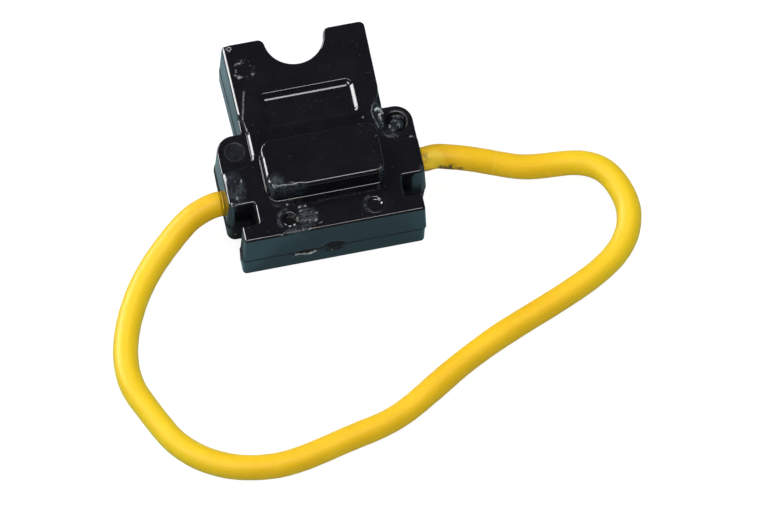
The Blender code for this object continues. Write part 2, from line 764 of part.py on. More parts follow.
def smooth_curve(points, t_in, t_out, spacing):
    """Reads evenly spaced points from a smooth curve through the given ones."""
    slopes = []
    for i in range(len(points)):
        if i == 0:
            slopes.append(t_in.normalized())
        elif i == len(points) - 1:
            slopes.append(t_out.normalized())
        else:
            slopes.append((points[i + 1] - points[i - 1]).normalized())
    fine = []
    for i in range(len(points) - 1):
        reach = (points[i + 1] - points[i]).length
        for step in range(20):
            t = step / 20
            fine.append(points[i] * (2 * t**3 - 3 * t**2 + 1)
                        + slopes[i] * reach * (t**3 - 2 * t**2 + t)
                        + points[i + 1] * (3 * t**2 - 2 * t**3)
                        + slopes[i + 1] * reach * (t**3 - t**2))
    fine.append(points[-1])
    lengths = [0.0]
    for a, b in zip(fine, fine[1:]):
        lengths.append(lengths[-1] + (b - a).length)
    count = max(2, round(lengths[-1] / spacing))
    result = []
    place = 0
    for k in range(count + 1):
        goal = lengths[-1] * k / count
        while place < len(fine) - 2 and lengths[place + 1] < goal:
            place += 1
        share = (goal - lengths[place]) / (lengths[place + 1] - lengths[place])
        result.append(fine[place].lerp(fine[place + 1], min(max(share, 0.0), 1.0)))
    return result


def make_wire_tail(name, side, finish):
    """The wire's cover inside the ear, from the grip to the ear's face."""
    middle = Vector((0, WIRE_Y - Y_ORIGIN, PARTING_HEIGHT))
    start = middle + X_AXIS * side * (grip_start() + 2 * GAP)
    bend = middle + X_AXIS * side * grip_end()
    end = wire_end(side) - X_AXIS * side * GAP
    straight = X_AXIS * side * WIRE_STRAIGHT / 2
    out = X_AXIS * side
    run = smooth_curve([bend, end - straight], out, out, straight.length)
    return add_tube(name, [start] + run + [end], WIRE_DIAMETER / 2, finish)


def make_lead_wire(finish):
    """The free loop of wire from the right ear round to the left ear."""
    straight = X_AXIS * WIRE_STRAIGHT
    route = [wire_end(1) + straight] + [Vector(p) * MM for p in LEAD_ROUTE] + [wire_end(-1) - straight]
    points = smooth_curve(route, X_AXIS, X_AXIS, WIRE_DIAMETER * WIRE_SPACING)
    return add_tube("lead_wire", [wire_end(1)] + points + [wire_end(-1)], WIRE_DIAMETER / 2, finish)


def build():
    for old in list(bpy.data.objects):
        bpy.data.objects.remove(old)
    shell_black = material("shell_black_plastic", (0.012, 0.012, 0.014), 0.22)
    back_black = material("back_shell_black_plastic", (0.012, 0.013, 0.014), 0.25)
    make_front_shell(shell_black)
    make_back_shell(back_black)
    for name, side in (("left", -1), ("right", 1)):
        brass = material(name + "_terminal_tinned_brass", (0.72, 0.68, 0.56), 0.3, 1.0)
        copper = material(name + "_strand_copper", (0.72, 0.38, 0.22), 0.35, 1.0)
        cover = material(name + "_tail_yellow_cover", (0.82, 0.5, 0.01), 0.4)
        make_terminal(name + "_terminal", side, brass)
        make_strands(name + "_strands", side, copper)
        make_wire_tail(name + "_wire_tail", side, cover)
    make_lead_wire(material("lead_yellow_cover", (0.82, 0.5, 0.01), 0.4))


build()
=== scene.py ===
import math

import bpy
import numpy as np
from mathutils import Matrix, Quaternion, Vector


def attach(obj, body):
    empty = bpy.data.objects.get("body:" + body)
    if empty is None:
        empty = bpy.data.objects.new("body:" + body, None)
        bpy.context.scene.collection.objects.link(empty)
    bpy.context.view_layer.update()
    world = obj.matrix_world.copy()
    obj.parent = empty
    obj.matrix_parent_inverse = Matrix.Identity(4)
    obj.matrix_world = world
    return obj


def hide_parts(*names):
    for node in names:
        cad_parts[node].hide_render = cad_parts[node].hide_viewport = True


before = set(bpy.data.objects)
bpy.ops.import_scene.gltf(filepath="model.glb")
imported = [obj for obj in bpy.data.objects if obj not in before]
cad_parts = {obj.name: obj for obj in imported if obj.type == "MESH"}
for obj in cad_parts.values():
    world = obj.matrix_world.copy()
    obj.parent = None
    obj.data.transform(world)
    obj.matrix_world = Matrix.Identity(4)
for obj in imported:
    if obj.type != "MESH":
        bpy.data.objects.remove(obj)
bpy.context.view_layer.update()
MM = 0.001

# The housing's sizes in millimetres, the solids' own or close to them. y is from the foot of the shells.
Y_ORIGIN = 17.975
THICKNESS = 13.0
PARTING = 4.8
EAR_TOP_LEVEL = 12.0
BLOCK_LEVEL = 17.0
SEAM = 0.13
FRONT_CHUTE_HALF = 12.17
BACK_CHUTE_HALF = 12.1
CHUTE_MIDDLE = 28.12
CHUTE_HALF_LENGTH = 8.17
NECK_HALF = 11.3
NECK_TOP = 20.8
NECK_SLOPE_LENGTH = 2.4
NOTCH_CENTRE = (0.02, 35.76)
NOTCH_RADIUS = 5.1
NOTCH_LIP = 1.15
STRIP_HALF = 15.425
STRIP_TOP = 3.05
MIDDLE_HALF = 12.45
EAR_HALF = 16.8
EAR_FOOT = 6.75
EAR_SHOULDER = 13.35
EAR_RADIUS = 3.0
BLOCK_CENTRE_Y = 11.2
BLOCK_HALF = (10.15, 4.8)
BLOCK_RADIUS = 1.9
PANEL_CENTRE = (-0.06, 22.87)
PANEL_HALF = (8.2, 3.3)
PANEL_RADIUS = 1.3
PANEL_DEPTH = 0.6
WELL_HALF = (9.9, 4.4)
WELL_MIDDLE = 6.4
WELL_FLOOR = 22.6
RIB_CENTRE = (6.2, 25.9)
RIB_HALF = (0.6, 3.5)
FRONT_RIB_LEVELS = (8.6, 11.2)
BACK_RIB_LEVELS = (1.6, 2.85)
SLOT_CENTRE = (4.85, 21.8)
SLOT_HALF = (2.95, 1.8)
SLOT_TOP = 6.4
CORE_CENTRE = (4.55, 11.2)
CORE_HALF = (3.55, 2.8)
CORE_TOP = 15.0
RECEPTACLE_CENTRE = (4.82, 14.7, 5.9)
RECEPTACLE_HALF = (3.83, 6.3, 1.65)
CRIMP_HALF = 2.2
CRIMP_SPAN = (10.5, 2.7)
GRIP_HALF = 3.1
GRIP_SPAN = (14.0, 1.5)
HOLE_START = 14.0
POST_RADIUS = 1.0
HEAD_RADIUS = 1.8
BACK_SHIFT = 0.18
WIRE_RADIUS = 2.125
WIRE_Y = 11.85
WIRE_FLOAT = 0.6
WIRE_FACE = 17.3
GRIP_START = 13.4
WIRE_CLEARANCE = 0.2

# The slopes of the moulded bevels and of the panel's wall, as sines and cosines
BEVEL_RUN, BEVEL_RISE = 0.616, 0.788
PANEL_RUN, PANEL_RISE = 0.768, 0.64

# The camera's azimuth, elevation and roll in degrees, its target in millimetres, its distance in metres
CAMERA_TURN = (-14.276, 67.233, 2.541)
CAMERA_TARGET = (7.581, -1.027)
CAMERA_DISTANCE = 1.0
FOCAL_PIXELS = 5895.7
PHOTO_WIDTH = 760
SENSOR_WIDTH = 36


def add_object(name, data):
    """Puts a new object into the scene."""
    made = bpy.data.objects.new(name, data)
    bpy.context.scene.collection.objects.link(made)
    return made


# Camera


def make_camera():
    azimuth, elevation, roll = (math.radians(v) for v in CAMERA_TURN)
    view = Vector((math.sin(azimuth) * math.cos(elevation),
                   -math.cos(azimuth) * math.cos(elevation), math.sin(elevation)))
    right = Vector((math.cos(azimuth), math.sin(azimuth), 0))
    up = view.cross(right)
    turned_right = right * math.cos(roll) + up * math.sin(roll)
    turned_up = up * math.cos(roll) - right * math.sin(roll)
    data = bpy.data.cameras.new("camera")
    data.sensor_width = SENSOR_WIDTH
    data.lens = FOCAL_PIXELS / PHOTO_WIDTH * SENSOR_WIDTH
    data.clip_start = 0.01
    data.clip_end = 20
    matrix = Matrix((turned_right, turned_up, view)).transposed().to_4x4()
    target = Vector((CAMERA_TARGET[0], CAMERA_TARGET[1] - Y_ORIGIN, 0)) * MM
    matrix.translation = target + view * CAMERA_DISTANCE
    camera = add_object("camera", data)
    camera.matrix_world = matrix
    bpy.context.scene.camera = camera


make_camera()

# Node helpers


class Nodes:
    """A short way to write a material's nodes. Its textures read the object's own coordinates."""

    def __init__(self, name):
        self.material = bpy.data.materials.new(name)
        self.material.use_nodes = True
        self.tree = self.material.node_tree
        self.shader = self.tree.nodes["Principled BSDF"]
        self.output = self.tree.nodes["Material Output"]
        self.place = self.add("ShaderNodeTexCoord").outputs["Object"]

    def add(self, kind, inputs=None, **settings):
        node = self.tree.nodes.new(kind)
        for key, value in settings.items():
            setattr(node, key, value)
        for key, value in (inputs or {}).items():
            self.put(node.inputs[key], value)
        return node

    def put(self, socket, value):
        if isinstance(value, bpy.types.NodeSocket):
            self.tree.links.new(value, socket)
        elif isinstance(value, bpy.types.Node):
            self.tree.links.new(value.outputs[0], socket)
        else:
            socket.default_value = value

    def maths(self, operation, a, b=0.0, c=0.0):
        return self.add("ShaderNodeMath", {0: a, 1: b, 2: c}, operation=operation).outputs[0]

    def times(self, a, b):
        return self.maths("MULTIPLY", a, b)

    def plus(self, a, b):
        return self.maths("ADD", a, b)

    def most(self, a, b):
        return self.maths("MAXIMUM", a, b)

    def gap(self, a, b):
        """How far apart two numbers are."""
        return self.maths("ABSOLUTE", self.maths("SUBTRACT", a, b))

    def stored(self, name):
        """A number that the mesh stores for every vertex."""
        return self.add("ShaderNodeAttribute", attribute_name=name).outputs["Fac"]

    def noise(self, scale, detail=2.0, roughness=0.5, distortion=0.0):
        node = self.add("ShaderNodeTexNoise", {
            "Vector": self.place, "Scale": scale, "Detail": detail,
            "Roughness": roughness, "Distortion": distortion})
        return node.outputs["Fac"]

    def ramp(self, value, low, high):
        node = self.add("ShaderNodeMapRange", {0: value, 1: low, 2: high, 3: 0.0, 4: 1.0})
        node.interpolation_type = "SMOOTHSTEP"
        return node.outputs[0]

    def away(self, centre):
        """The distance from a point, which is given in millimetres from the shells' foot."""
        middle = (centre[0] * MM, (centre[1] - Y_ORIGIN) * MM, centre[2] * MM)
        node = self.add("ShaderNodeVectorMath", {0: self.place, 1: middle}, operation="DISTANCE")
        return node.outputs["Value"]

    def ring(self, centre, radius, width):
        """1 on a ring about a point."""
        off = self.gap(self.away(centre), radius * MM)
        return self.maths("SUBTRACT", 1.0, self.ramp(off, 0.2 * width * MM, width * MM))

    def spot(self, centre, inner, outer):
        """1 near a point, falling to 0 at the outer distance."""
        return self.maths("SUBTRACT", 1.0, self.ramp(self.away(centre), inner * MM, outer * MM))

    def dust(self, scale, radius, share):
        """Small specks in part of the cells."""
        cells = self.add("ShaderNodeTexVoronoi", {"Vector": self.place, "Scale": scale}, feature="F1")
        speck = self.maths("LESS_THAN", cells.outputs["Distance"], radius)
        return self.times(speck, self.maths("GREATER_THAN", self.noise(700, 1), share))

    def mix(self, share, a, b):
        node = self.add("ShaderNodeMix", data_type="RGBA")
        self.put(node.inputs[0], share)
        self.put(node.inputs[6], a)
        self.put(node.inputs[7], b)
        return node.outputs[2]

    def set(self, name, value):
        self.put(self.shader.inputs[name], value)

    def paint(self, colour, share, strength, over):
        """A colour with another one over it, by a share and a strength."""
        return self.mix(self.times(share, strength), colour, over)

    def bump(self, height, strength, distance, normal=None):
        node = self.add("ShaderNodeBump", {"Height": height, "Strength": strength, "Distance": distance})
        if normal is not None:
            self.put(node.inputs["Normal"], normal)
        return node.outputs[0]


# Signed distances, in millimetres, with x and z as in the frame and y from the shells' foot


def box2(x, y, cx, cy, hx, hy, radius):
    """A rectangle with round corners, from its centre and half sizes."""
    qx = np.abs(x - cx) - hx + radius
    qy = np.abs(y - cy) - hy + radius
    outside = np.sqrt(np.maximum(qx, 0) ** 2 + np.maximum(qy, 0) ** 2)
    return outside + np.minimum(np.maximum(qx, qy), 0) - radius


def meet(a, b, radius):
    """Where both solids are, with the shared edge rounded."""
    u = np.maximum(radius + a, 0)
    v = np.maximum(radius + b, 0)
    return np.minimum(-radius, np.maximum(a, b)) + np.sqrt(u * u + v * v)


def join(a, b, radius):
    """Where either solid is, with the shared corner filled."""
    return -meet(-a, -b, radius)


def cut(a, b, radius):
    """The first solid without the second."""
    return meet(a, -b, radius)


def ball(x, y, z, form):
    """An ellipsoid's rough distance, from its centre and radii."""
    (cx, cy, cz), (rx, ry, rz) = form
    k = np.sqrt(((x - cx) / rx) ** 2 + ((y - cy) / ry) ** 2 + ((z - cz) / rz) ** 2)
    return (k - 1) * min(rx, ry, rz)


def waves(x, y, z, size, seed):
    """A smooth repeatable unevenness between about -1 and 1."""
    rng = np.random.default_rng(seed)
    total = 0.0
    for _ in range(7):
        direction = rng.normal(size=3)
        direction *= (0.7 + 0.9 * rng.random()) / np.linalg.norm(direction) / size * 2 * math.pi
        phase = rng.random() * 2 * math.pi
        total = total + np.sin(x * direction[0] + y * direction[1] + z * direction[2] + phase)
    return total / 3.2


# Centre, level of the face around it, depth and radius of each seat
STAKES = {
    "right_ear": (13.97, 17.1, 12.0, 1.15, 1.8),
    "left_ear": (-13.85, 17.05, 12.0, 0.8, 1.5),
    "right_foot": (7.37, 2.7, 13.0, 0.75, 1.5),
    "left_foot": (-7.4, 2.72, 13.0, 1.25, 1.5),
}


def rope(x, y, z, points, radius):
    """Distance to a bent round rod through some points."""
    near = 1e9
    for a, b in zip(points[:-1], points[1:]):
        a, b = np.array(a, float), np.array(b, float)
        way = b - a
        along = ((x - a[0]) * way[0] + (y - a[1]) * way[1] + (z - a[2]) * way[2]) / (way @ way)
        along = np.clip(along, 0, 1)
        out = np.sqrt((x - a[0] - along * way[0]) ** 2 + (y - a[1] - along * way[1]) ** 2
                      + (z - a[2] - along * way[2]) ** 2)
        near = np.minimum(near, out)
    return near - radius


def patch(x, y, cx, cy, rx, ry, turn=0.0):
    """1 in the middle of an oval and 0 outside it, with a soft edge."""
    c, s = math.cos(math.radians(turn)), math.sin(math.radians(turn))
    u = ((x - cx) * c + (y - cy) * s) / rx
    v = ((y - cy) * c - (x - cx) * s) / ry
    q = np.clip(1.35 - np.sqrt(u * u + v * v), 0, 0.7) / 0.7
    return q * q * (3 - 2 * q)


def chute_plan(x, y, half, chamfered):
    """Plan of the chute, which widens a little towards its mouth, with or without its narrow neck."""
    half = half + 0.012 * np.clip(y - 22, 0, 14)
    plan = box2(x, y, 0, CHUTE_MIDDLE, half, CHUTE_HALF_LENGTH, np.where(x < 0, 0.6, 0.95))
    if chamfered:
        dx, dy = half - NECK_HALF, NECK_SLOPE_LENGTH
        slope = ((np.abs(x) - NECK_HALF) * dy - (y - NECK_TOP) * dx) / np.hypot(dx, dy)
        plan = meet(plan, slope, 0.3)
        plan = join(plan, box2(x, y, 0, 17.0, NECK_HALF, 7.0, 0.5), 0.5)
    return plan


def chute_draft(y):
    """How far the chute's sides lean out at the parting, which is less lower down."""
    return 0.42 - 0.018 * np.clip(36 - y, 0, 15)


def notch_room(x, y):
    """The finger notch, positive inside it."""
    return NOTCH_RADIUS - np.hypot(x - NOTCH_CENTRE[0], y - NOTCH_CENTRE[1])


def front_plan(x, y, t):
    """Plan of the front shell's face, where t is 0 at the front and 1 at the parting."""
    strip = box2(x, y, 0, STRIP_TOP / 2 - 0.05 * t, STRIP_HALF + 0.38 * t, STRIP_TOP / 2 + 0.05 * t, 0.45)
    middle = box2(x, y, 0, 4.5, MIDDLE_HALF, 4.0, 0.4)
    low = EAR_FOOT - 0.35 * t
    radius = np.where(y < 10, 0.9 + 0.5 * t, 0.4)
    top = EAR_SHOULDER + 0.16 * np.clip(EAR_HALF - np.abs(x), 0, 6)
    ears = box2(x, y, 0, (low + top) / 2, EAR_HALF + 0.5 * t, (top - low) / 2, radius)
    plan = join(join(middle, strip, 0.4), ears, 0.4)
    plan = join(plan, chute_plan(x, y, FRONT_CHUTE_HALF + chute_draft(y) * t, True), 1.3)
    return meet(plan, notch_room(x, y), NOTCH_LIP)


def well_room(x, y, z):
    """The well that the fuse's body goes into."""
    return np.maximum(box2(x, z, 0, WELL_MIDDLE, WELL_HALF[0], WELL_HALF[1], 0.6), WELL_FLOOR - y)


def wire_room(ax, y, z, half, span, radius):
    """A square room about the wire's axis, over a span given as its middle and half length."""
    middle, reach = span
    return np.maximum(box2(y, z, WIRE_Y, PARTING, half, half, radius), np.abs(ax - middle) - reach)


def inner_rooms(x, y, z):
    """The rooms for the terminals and the holes for the wire."""
    ax = np.abs(x)
    cx, cy, cz = RECEPTACLE_CENTRE
    hx, hy, hz = RECEPTACLE_HALF
    receptacle = np.maximum(box2(ax, z, cx, cz, hx, hz, 0.3), np.abs(y - cy) - hy)
    crimp = wire_room(ax, y, z, CRIMP_HALF, CRIMP_SPAN, 0.3)
    grip = wire_room(ax, y, z, GRIP_HALF, GRIP_SPAN, 0.4)
    hole = np.hypot(y - WIRE_Y - WIRE_FLOAT * np.sign(x), z - PARTING) - WIRE_RADIUS - WIRE_CLEARANCE
    hole = np.maximum(hole, HOLE_START - ax)
    return np.minimum(np.minimum(receptacle, crimp), np.minimum(grip, hole))


def ribs(x, y, z, low, high):
    """The ribs on the well's wall, between two levels."""
    plan = box2(np.abs(x), y, *RIB_CENTRE, *RIB_HALF, 0.15)
    return np.maximum(plan, np.maximum(low - z, z - high))


# Runs of melted plastic as points along them, in millimetres
FLASH = [(10.95, 19.5, 12.95), (11.3, 19.7, 12.95), (11.75, 19.45, 12.8), (11.98, 18.75, 12.6),
         (11.45, 18.6, 12.85), (11.4, 18.1, 12.8), (11.6, 17.65, 12.7)]
FLASH_LOOP = [(11.35, 17.35, 12.55), (11.75, 17.0, 12.5), (11.75, 16.5, 12.4), (11.42, 16.15, 12.45),
              (11.15, 16.6, 12.6), (11.35, 17.35, 12.55)]
FILM = [(11.45, 21.1, 12.9), (10.7, 20.4, 12.95), (10.3, 19.2, 12.98), (10.5, 18.0, 12.98),
        (10.85, 16.6, 12.9), (11.2, 15.6, 12.4), (12.2, 14.7, 12.05), (13.4, 14.1, 12.0)]
SMEAR = [(-5.3, 4.15, 13.0), (-4.6, 4.05, 13.05), (-3.8, 4.0, 13.0), (-3.2, 3.3, 13.02), (-3.1, 2.3, 13.0)]
CHIP_LIP = [(-6.8, -0.12, 3.9), (-6.0, -0.2, 4.25), (-5.4, -0.16, 3.9), (-4.7, -0.25, 3.45),
            (-4.0, -0.2, 3.75), (-3.4, -0.12, 3.95)]

# Lumps and hollows, each as the centre and the radii of an ellipsoid
DRIP = ((12.35, 14.95, 11.95), (1.35, 0.75, 0.3))
POOL = ((11.3, 18.3, 12.35), (0.85, 2.3, 0.55))
SMEAR_BED = ((-4.3, 2.75, 12.98), (1.85, 1.85, 0.12))
SMEAR_TRAIL = ((-6.4, 0.75, 12.95), (2.2, 0.7, 0.12))
EDGE_NICK = ((-8.8, -0.02, 13.05), (0.55, 0.35, 0.3))
NICK_LIP = ((-9.15, 0.18, 12.98), (0.2, 0.2, 0.12))
EAR_CRUMB = ((-15.9, 6.95, 12.75), (0.55, 0.3, 0.35))
BACK_EAR_CRUMB = ((-15.9, 5.75, 3.6), (0.45, 0.16, 0.14))
GATE_SCAR = ((-0.1, -0.05, 4.85), (1.9, 0.3, 1.7))
GATE_STUB = ((0.55, 0.1, 5.9), (0.75, 0.14, 0.35))
CHIP = ((-4.9, -0.1, 4.45), (2.3, 0.34, 0.75))
HEAD_DOME = ((13.95, 16.9, 11.2), (1.3, 1.3, 0.7))
HEAD_DENT = ((13.8, 17.2, 11.95), (0.4, 0.45, 0.25))
HEAD_LUMP = ((12.75, 16.6, 11.6), (0.55, 0.5, 0.45))
HEAD_SPILL = ((13.1, 15.8, 11.75), (1.0, 0.6, 0.35))
CORNER_RING = (-11.1, 35.5, 0.42)


def melted(shell, x, y, z):
    """Flash, drips and smears where the plastic was melted or rubbed."""
    fine = waves(x, y, z, 0.55, 11)
    rough = waves(x, y, z, 1.1, 12)
    flash = np.minimum(rope(x, y, z, FLASH, 0.17), rope(x, y, z, FLASH_LOOP, 0.14)) + 0.03 * fine
    shell = join(shell, flash, 0.06)
    film = rope(x, y, z, FILM, 0.11) + 0.02 * fine
    shell = join(shell, film, 0.25)
    drip = ball(x, y, z, DRIP) + 0.03 * fine + 0.03 * rough
    shell = join(shell, drip, 0.2)
    pool = ball(x, y, z, POOL) + 0.02 * fine
    shell = join(shell, pool, 0.25)
    smear = ball(x, y, z, SMEAR_BED) + 0.012 * fine + 0.02 * rough
    shell = join(shell, smear, 0.12)
    shell = join(shell, rope(x, y, z, SMEAR, 0.09) + 0.03 * fine, 0.05)
    trail = ball(x, y, z, SMEAR_TRAIL) + 0.015 * fine
    shell = join(shell, trail, 0.1)
    shell = cut(shell, ball(x, y, z, EDGE_NICK), 0.08)
    shell = join(shell, ball(x, y, z, NICK_LIP), 0.05)
    shell = join(shell, ball(x, y, z, EAR_CRUMB) + 0.05 * fine, 0.08)
    cx, cy, radius = CORNER_RING
    ring = np.hypot(np.hypot(x - cx, y - cy) - radius, z - THICKNESS) - 0.1
    shell = join(shell, ring, 0.05)
    scuff = patch(x, y, -15.2, 10.2, 1.6, 3.0) * 0.010 * fine
    scuff = scuff + patch(x, y, -4.3, 2.75, 1.8, 1.8) * 0.008 * fine
    scuff = scuff + patch(x, y, 15.9, 13.7, 0.5, 0.35) * 0.05 * fine
    return shell + np.where(z > 11.0, scuff, 0)


def gate_scars(shell, x, y, z):
    """The broken gate and the chipped lip on the wall below the strip."""
    fine = waves(x, y, z, 0.6, 21)
    scar = ball(x, y, z, GATE_SCAR) + 0.04 * waves(x, y, z, 1.4, 23)
    shell = cut(shell, scar, 0.12)
    shell = join(shell, ball(x, y, z, GATE_STUB), 0.1)
    chip = ball(x, y, z, CHIP) + 0.04 * fine
    return cut(shell, chip, 0.06)


def raised_block(x, y, z):
    """The block on the front face, with its lower left corner worn and its lower right one lumpy."""
    corner = patch(x, y, -8.9, 7.9, 1.5, 1.9, -20) + 0.7 * patch(x, y, -6.2, 6.9, 2.2, 0.7)
    corner = np.clip(corner, 0, 1)
    far_corner = patch(x, y, 9.5, 6.5, 0.7, 0.9)
    draft = 0.03 * (z - THICKNESS)
    flank = box2(x, y, 0, BLOCK_CENTRE_Y, BLOCK_HALF[0] - draft, BLOCK_HALF[1] - draft, BLOCK_RADIUS)
    block = meet(flank, z - BLOCK_LEVEL, np.where(y > 13, 0.3, 0.66 + 0.4 * corner))
    side = 0.48 * np.clip(-x - 8.2, 0, 1) * (1 - corner) - 0.1
    block = meet(block, BEVEL_RUN * (flank + side) + BEVEL_RISE * (z - BLOCK_LEVEL), 0.25)
    block = block + corner * (0.025 * waves(x, y, z, 1.5, 31) + 0.04)
    block = block - far_corner * (0.10 + 0.08 * waves(x, y, z, 0.6, 33))
    return np.maximum(block, 11.0 - z)


def front_rooms(shell, x, y, z):
    """Cuts the fuse well, the terminals' rooms and the hollow inside the block out of the front shell."""
    ax = np.abs(x)
    shell = cut(shell, well_room(x, y, z), 0.25)
    shell = np.minimum(shell, ribs(x, y, z, *FRONT_RIB_LEVELS))
    slot = np.maximum(np.abs(ax - SLOT_CENTRE[0]) - SLOT_HALF[0], np.abs(y - SLOT_CENTRE[1]) - SLOT_HALF[1])
    shell = np.maximum(shell, -np.maximum(slot, z - SLOT_TOP))
    shell = cut(shell, inner_rooms(x, y, z), 0.15)
    core = box2(ax, y, *CORE_CENTRE, *CORE_HALF, 0.3)
    return np.maximum(shell, -np.maximum(core, z - CORE_TOP))


def front_shell(x, y, z):
    """The deep front shell, with its block, sunk panel, ears and stake seats."""
    t = np.clip((THICKNESS - z) / (THICKNESS - PARTING), 0, 1.1)
    recess = np.clip((y - 13.7) / 0.8, 0, 1) * np.clip((20.2 - y) / 0.8, 0, 1)
    left = np.clip(-x - 10.5, 0, 1)
    plan = front_plan(x, y, t)
    shell = meet(plan, z - THICKNESS, 0.42 - 0.12 * left)
    # Bevels run along the left edge, narrower towards the foot, and along the recess by the ears
    edge = np.where(y < 14, 0.5 + 0.4 * np.clip((y - 7.5) / 5, 0, 1), 0.8)
    bevel = -0.3 + np.maximum(edge * left * (1 - recess), 0.85 * recess)
    shell = meet(shell, BEVEL_RUN * (plan + bevel) + BEVEL_RISE * (z - THICKNESS), 0.16)
    ears = box2(x, y, 0, 15.0, 16.78 + 0.5 * t, 5.12, np.where(y > 14, EAR_RADIUS, 0.4))
    chute = chute_plan(x, y, FRONT_CHUTE_HALF + chute_draft(y) * t, False)
    plate = join(ears, meet(chute, notch_room(x, y), NOTCH_LIP), 0.5)
    shell = join(shell, meet(plate, z - EAR_TOP_LEVEL, 0.3), 0.1)
    shell = join(shell, raised_block(x, y, z), 0.12)
    panel = PANEL_RUN * box2(x, y, *PANEL_CENTRE, *PANEL_HALF, PANEL_RADIUS) + PANEL_RISE * (THICKNESS - z)
    panel = meet(panel, THICKNESS - PANEL_DEPTH - z, 0.6)
    shell = cut(shell, panel, 0.03)
    shell = melted(shell, x, y, z)
    for sx, sy, level, depth, seat in STAKES.values():
        out = np.hypot(x - sx, y - sy)
        shell = cut(shell, meet(out - seat, level - depth - z, 0.1), 0.15 if seat > 1.6 else 0.05)
        shell = np.maximum(shell, 1.25 - out)
    shell = gate_scars(shell, x, y, z)
    shell = front_rooms(shell, x, y, z)
    return meet(shell, PARTING + SEAM / 2 - z, 0.1)


def left_ear_head(x, y, z, fine):
    """A flat head that fills its seat and dips towards the mouth."""
    sx, sy, level, depth, _ = STAKES["left_ear"]
    out = np.hypot(x - sx, y - sy)
    dish = 0.03 * np.clip((1.25 - out) / 0.3, 0, 1) + 0.14 * np.clip(y - sy - 0.5, 0, 1.3)
    top = z - (level - 0.015 - dish) - 0.003 * fine
    return np.maximum(meet(out - HEAD_RADIUS, top, 0.05), level - depth - 0.05 - z)


def right_foot_head(x, y, z, fine):
    """A full head with a shallow bowl in it."""
    sx, sy, level, depth, _ = STAKES["right_foot"]
    out = np.hypot(x - sx, y - sy)
    bowl = np.clip((1.35 - np.hypot(x - sx + 0.05, y - sy + 0.05)) / 0.55, 0, 1)
    top = z - (level + 0.035 - 0.26 * bowl * bowl * (3 - 2 * bowl)) - 0.002 * fine
    return np.maximum(meet(out - HEAD_RADIUS, top, 0.06), level - depth - 0.05 - z)


def left_foot_head(x, y, z, fine):
    """A collar of melted plastic round a deep hole, and the post's stub in the hole."""
    sx, sy, level, depth, _ = STAKES["left_foot"]
    out = np.hypot(x - sx, y - sy)
    collar = meet(out - 1.85, z - level - 0.03 - 0.006 * fine, 0.08)
    collar = cut(collar, np.hypot(x - sx - 0.15, y - sy) - 1.1 - 0.03 * fine, 0.2)
    stub = np.maximum(np.maximum(out - 1.3, z - 11.85 - 0.01 * fine), 11.4 - z)
    return np.maximum(collar, level - depth - z), stub


def right_ear_head(x, y, z, fine):
    """A small dome with a dent, which has run out over one side of its seat."""
    dome = ball(x, y, z, HEAD_DOME) + 0.03 * fine
    lump = ball(x, y, z, HEAD_LUMP) + 0.02 * fine
    spill = ball(x, y, z, HEAD_SPILL) + 0.02 * fine
    return join(cut(dome, ball(x, y, z, HEAD_DENT), 0.15), join(lump, spill, 0.2), 0.15)


def stake_heads(x, y, z):
    """The posts that hold the shells together, with the shapes their heads were melted to."""
    fine = waves(x, y, z, 0.6, 41)
    forms = []
    for sx, sy, level, depth, _ in STAKES.values():
        post = meet(np.hypot(x - sx, y - sy) - POST_RADIUS, z - (level - depth + 0.1), 0.1)
        forms.append(np.maximum(post, 2.0 - z))
    forms.append(left_ear_head(x, y, z, fine))
    forms.append(right_foot_head(x, y, z, fine))
    forms.extend(left_foot_head(x, y, z, fine))
    forms.append(right_ear_head(x, y, z, fine))
    total = forms[0]
    for form in forms[1:]:
        total = join(total, form, 0.08)
    return total


def back_shell(x, y, z):
    """The back shell, which sits a little to the left of the front one."""
    depth = np.clip(1 - z / PARTING, 0, 1)
    foot = -0.1 - 0.2 * depth
    sx = x + BACK_SHIFT
    strip = box2(sx, y, 0, (STRIP_TOP + foot) / 2, 15.83 - 0.12 * depth, (STRIP_TOP - foot) / 2, 0.7)
    middle = box2(sx, y, 0, 4.5, MIDDLE_HALF, 4.0, 0.4)
    ears = box2(sx, y, 0, 13.14, WIRE_FACE - 0.33 * depth, 6.94, np.where(y < 12, 1.4, EAR_RADIUS))
    shell = join(join(middle, strip, 0.4), ears, 0.4)
    shell = join(shell, chute_plan(sx, y, BACK_CHUTE_HALF + chute_draft(y), False), 0.4)
    shell = meet(shell, notch_room(sx, y), NOTCH_LIP)
    shell = meet(shell, -z, 0.3)
    shell = gate_scars(shell, x, y, z)
    shell = join(shell, rope(x, y, z, CHIP_LIP, 0.12) + 0.05 * waves(x, y, z, 0.5, 22), 0.05)
    shell = join(shell, ball(x, y, z, BACK_EAR_CRUMB), 0.04)
    shell = cut(shell, well_room(x, y, z), 0.25)
    shell = np.minimum(shell, ribs(x, y, z, *BACK_RIB_LEVELS))
    shell = cut(shell, inner_rooms(x, y, z), 0.15)
    shell = meet(shell, z - PARTING + SEAM / 2, 0.1)
    return np.minimum(shell, stake_heads(x, y, z))


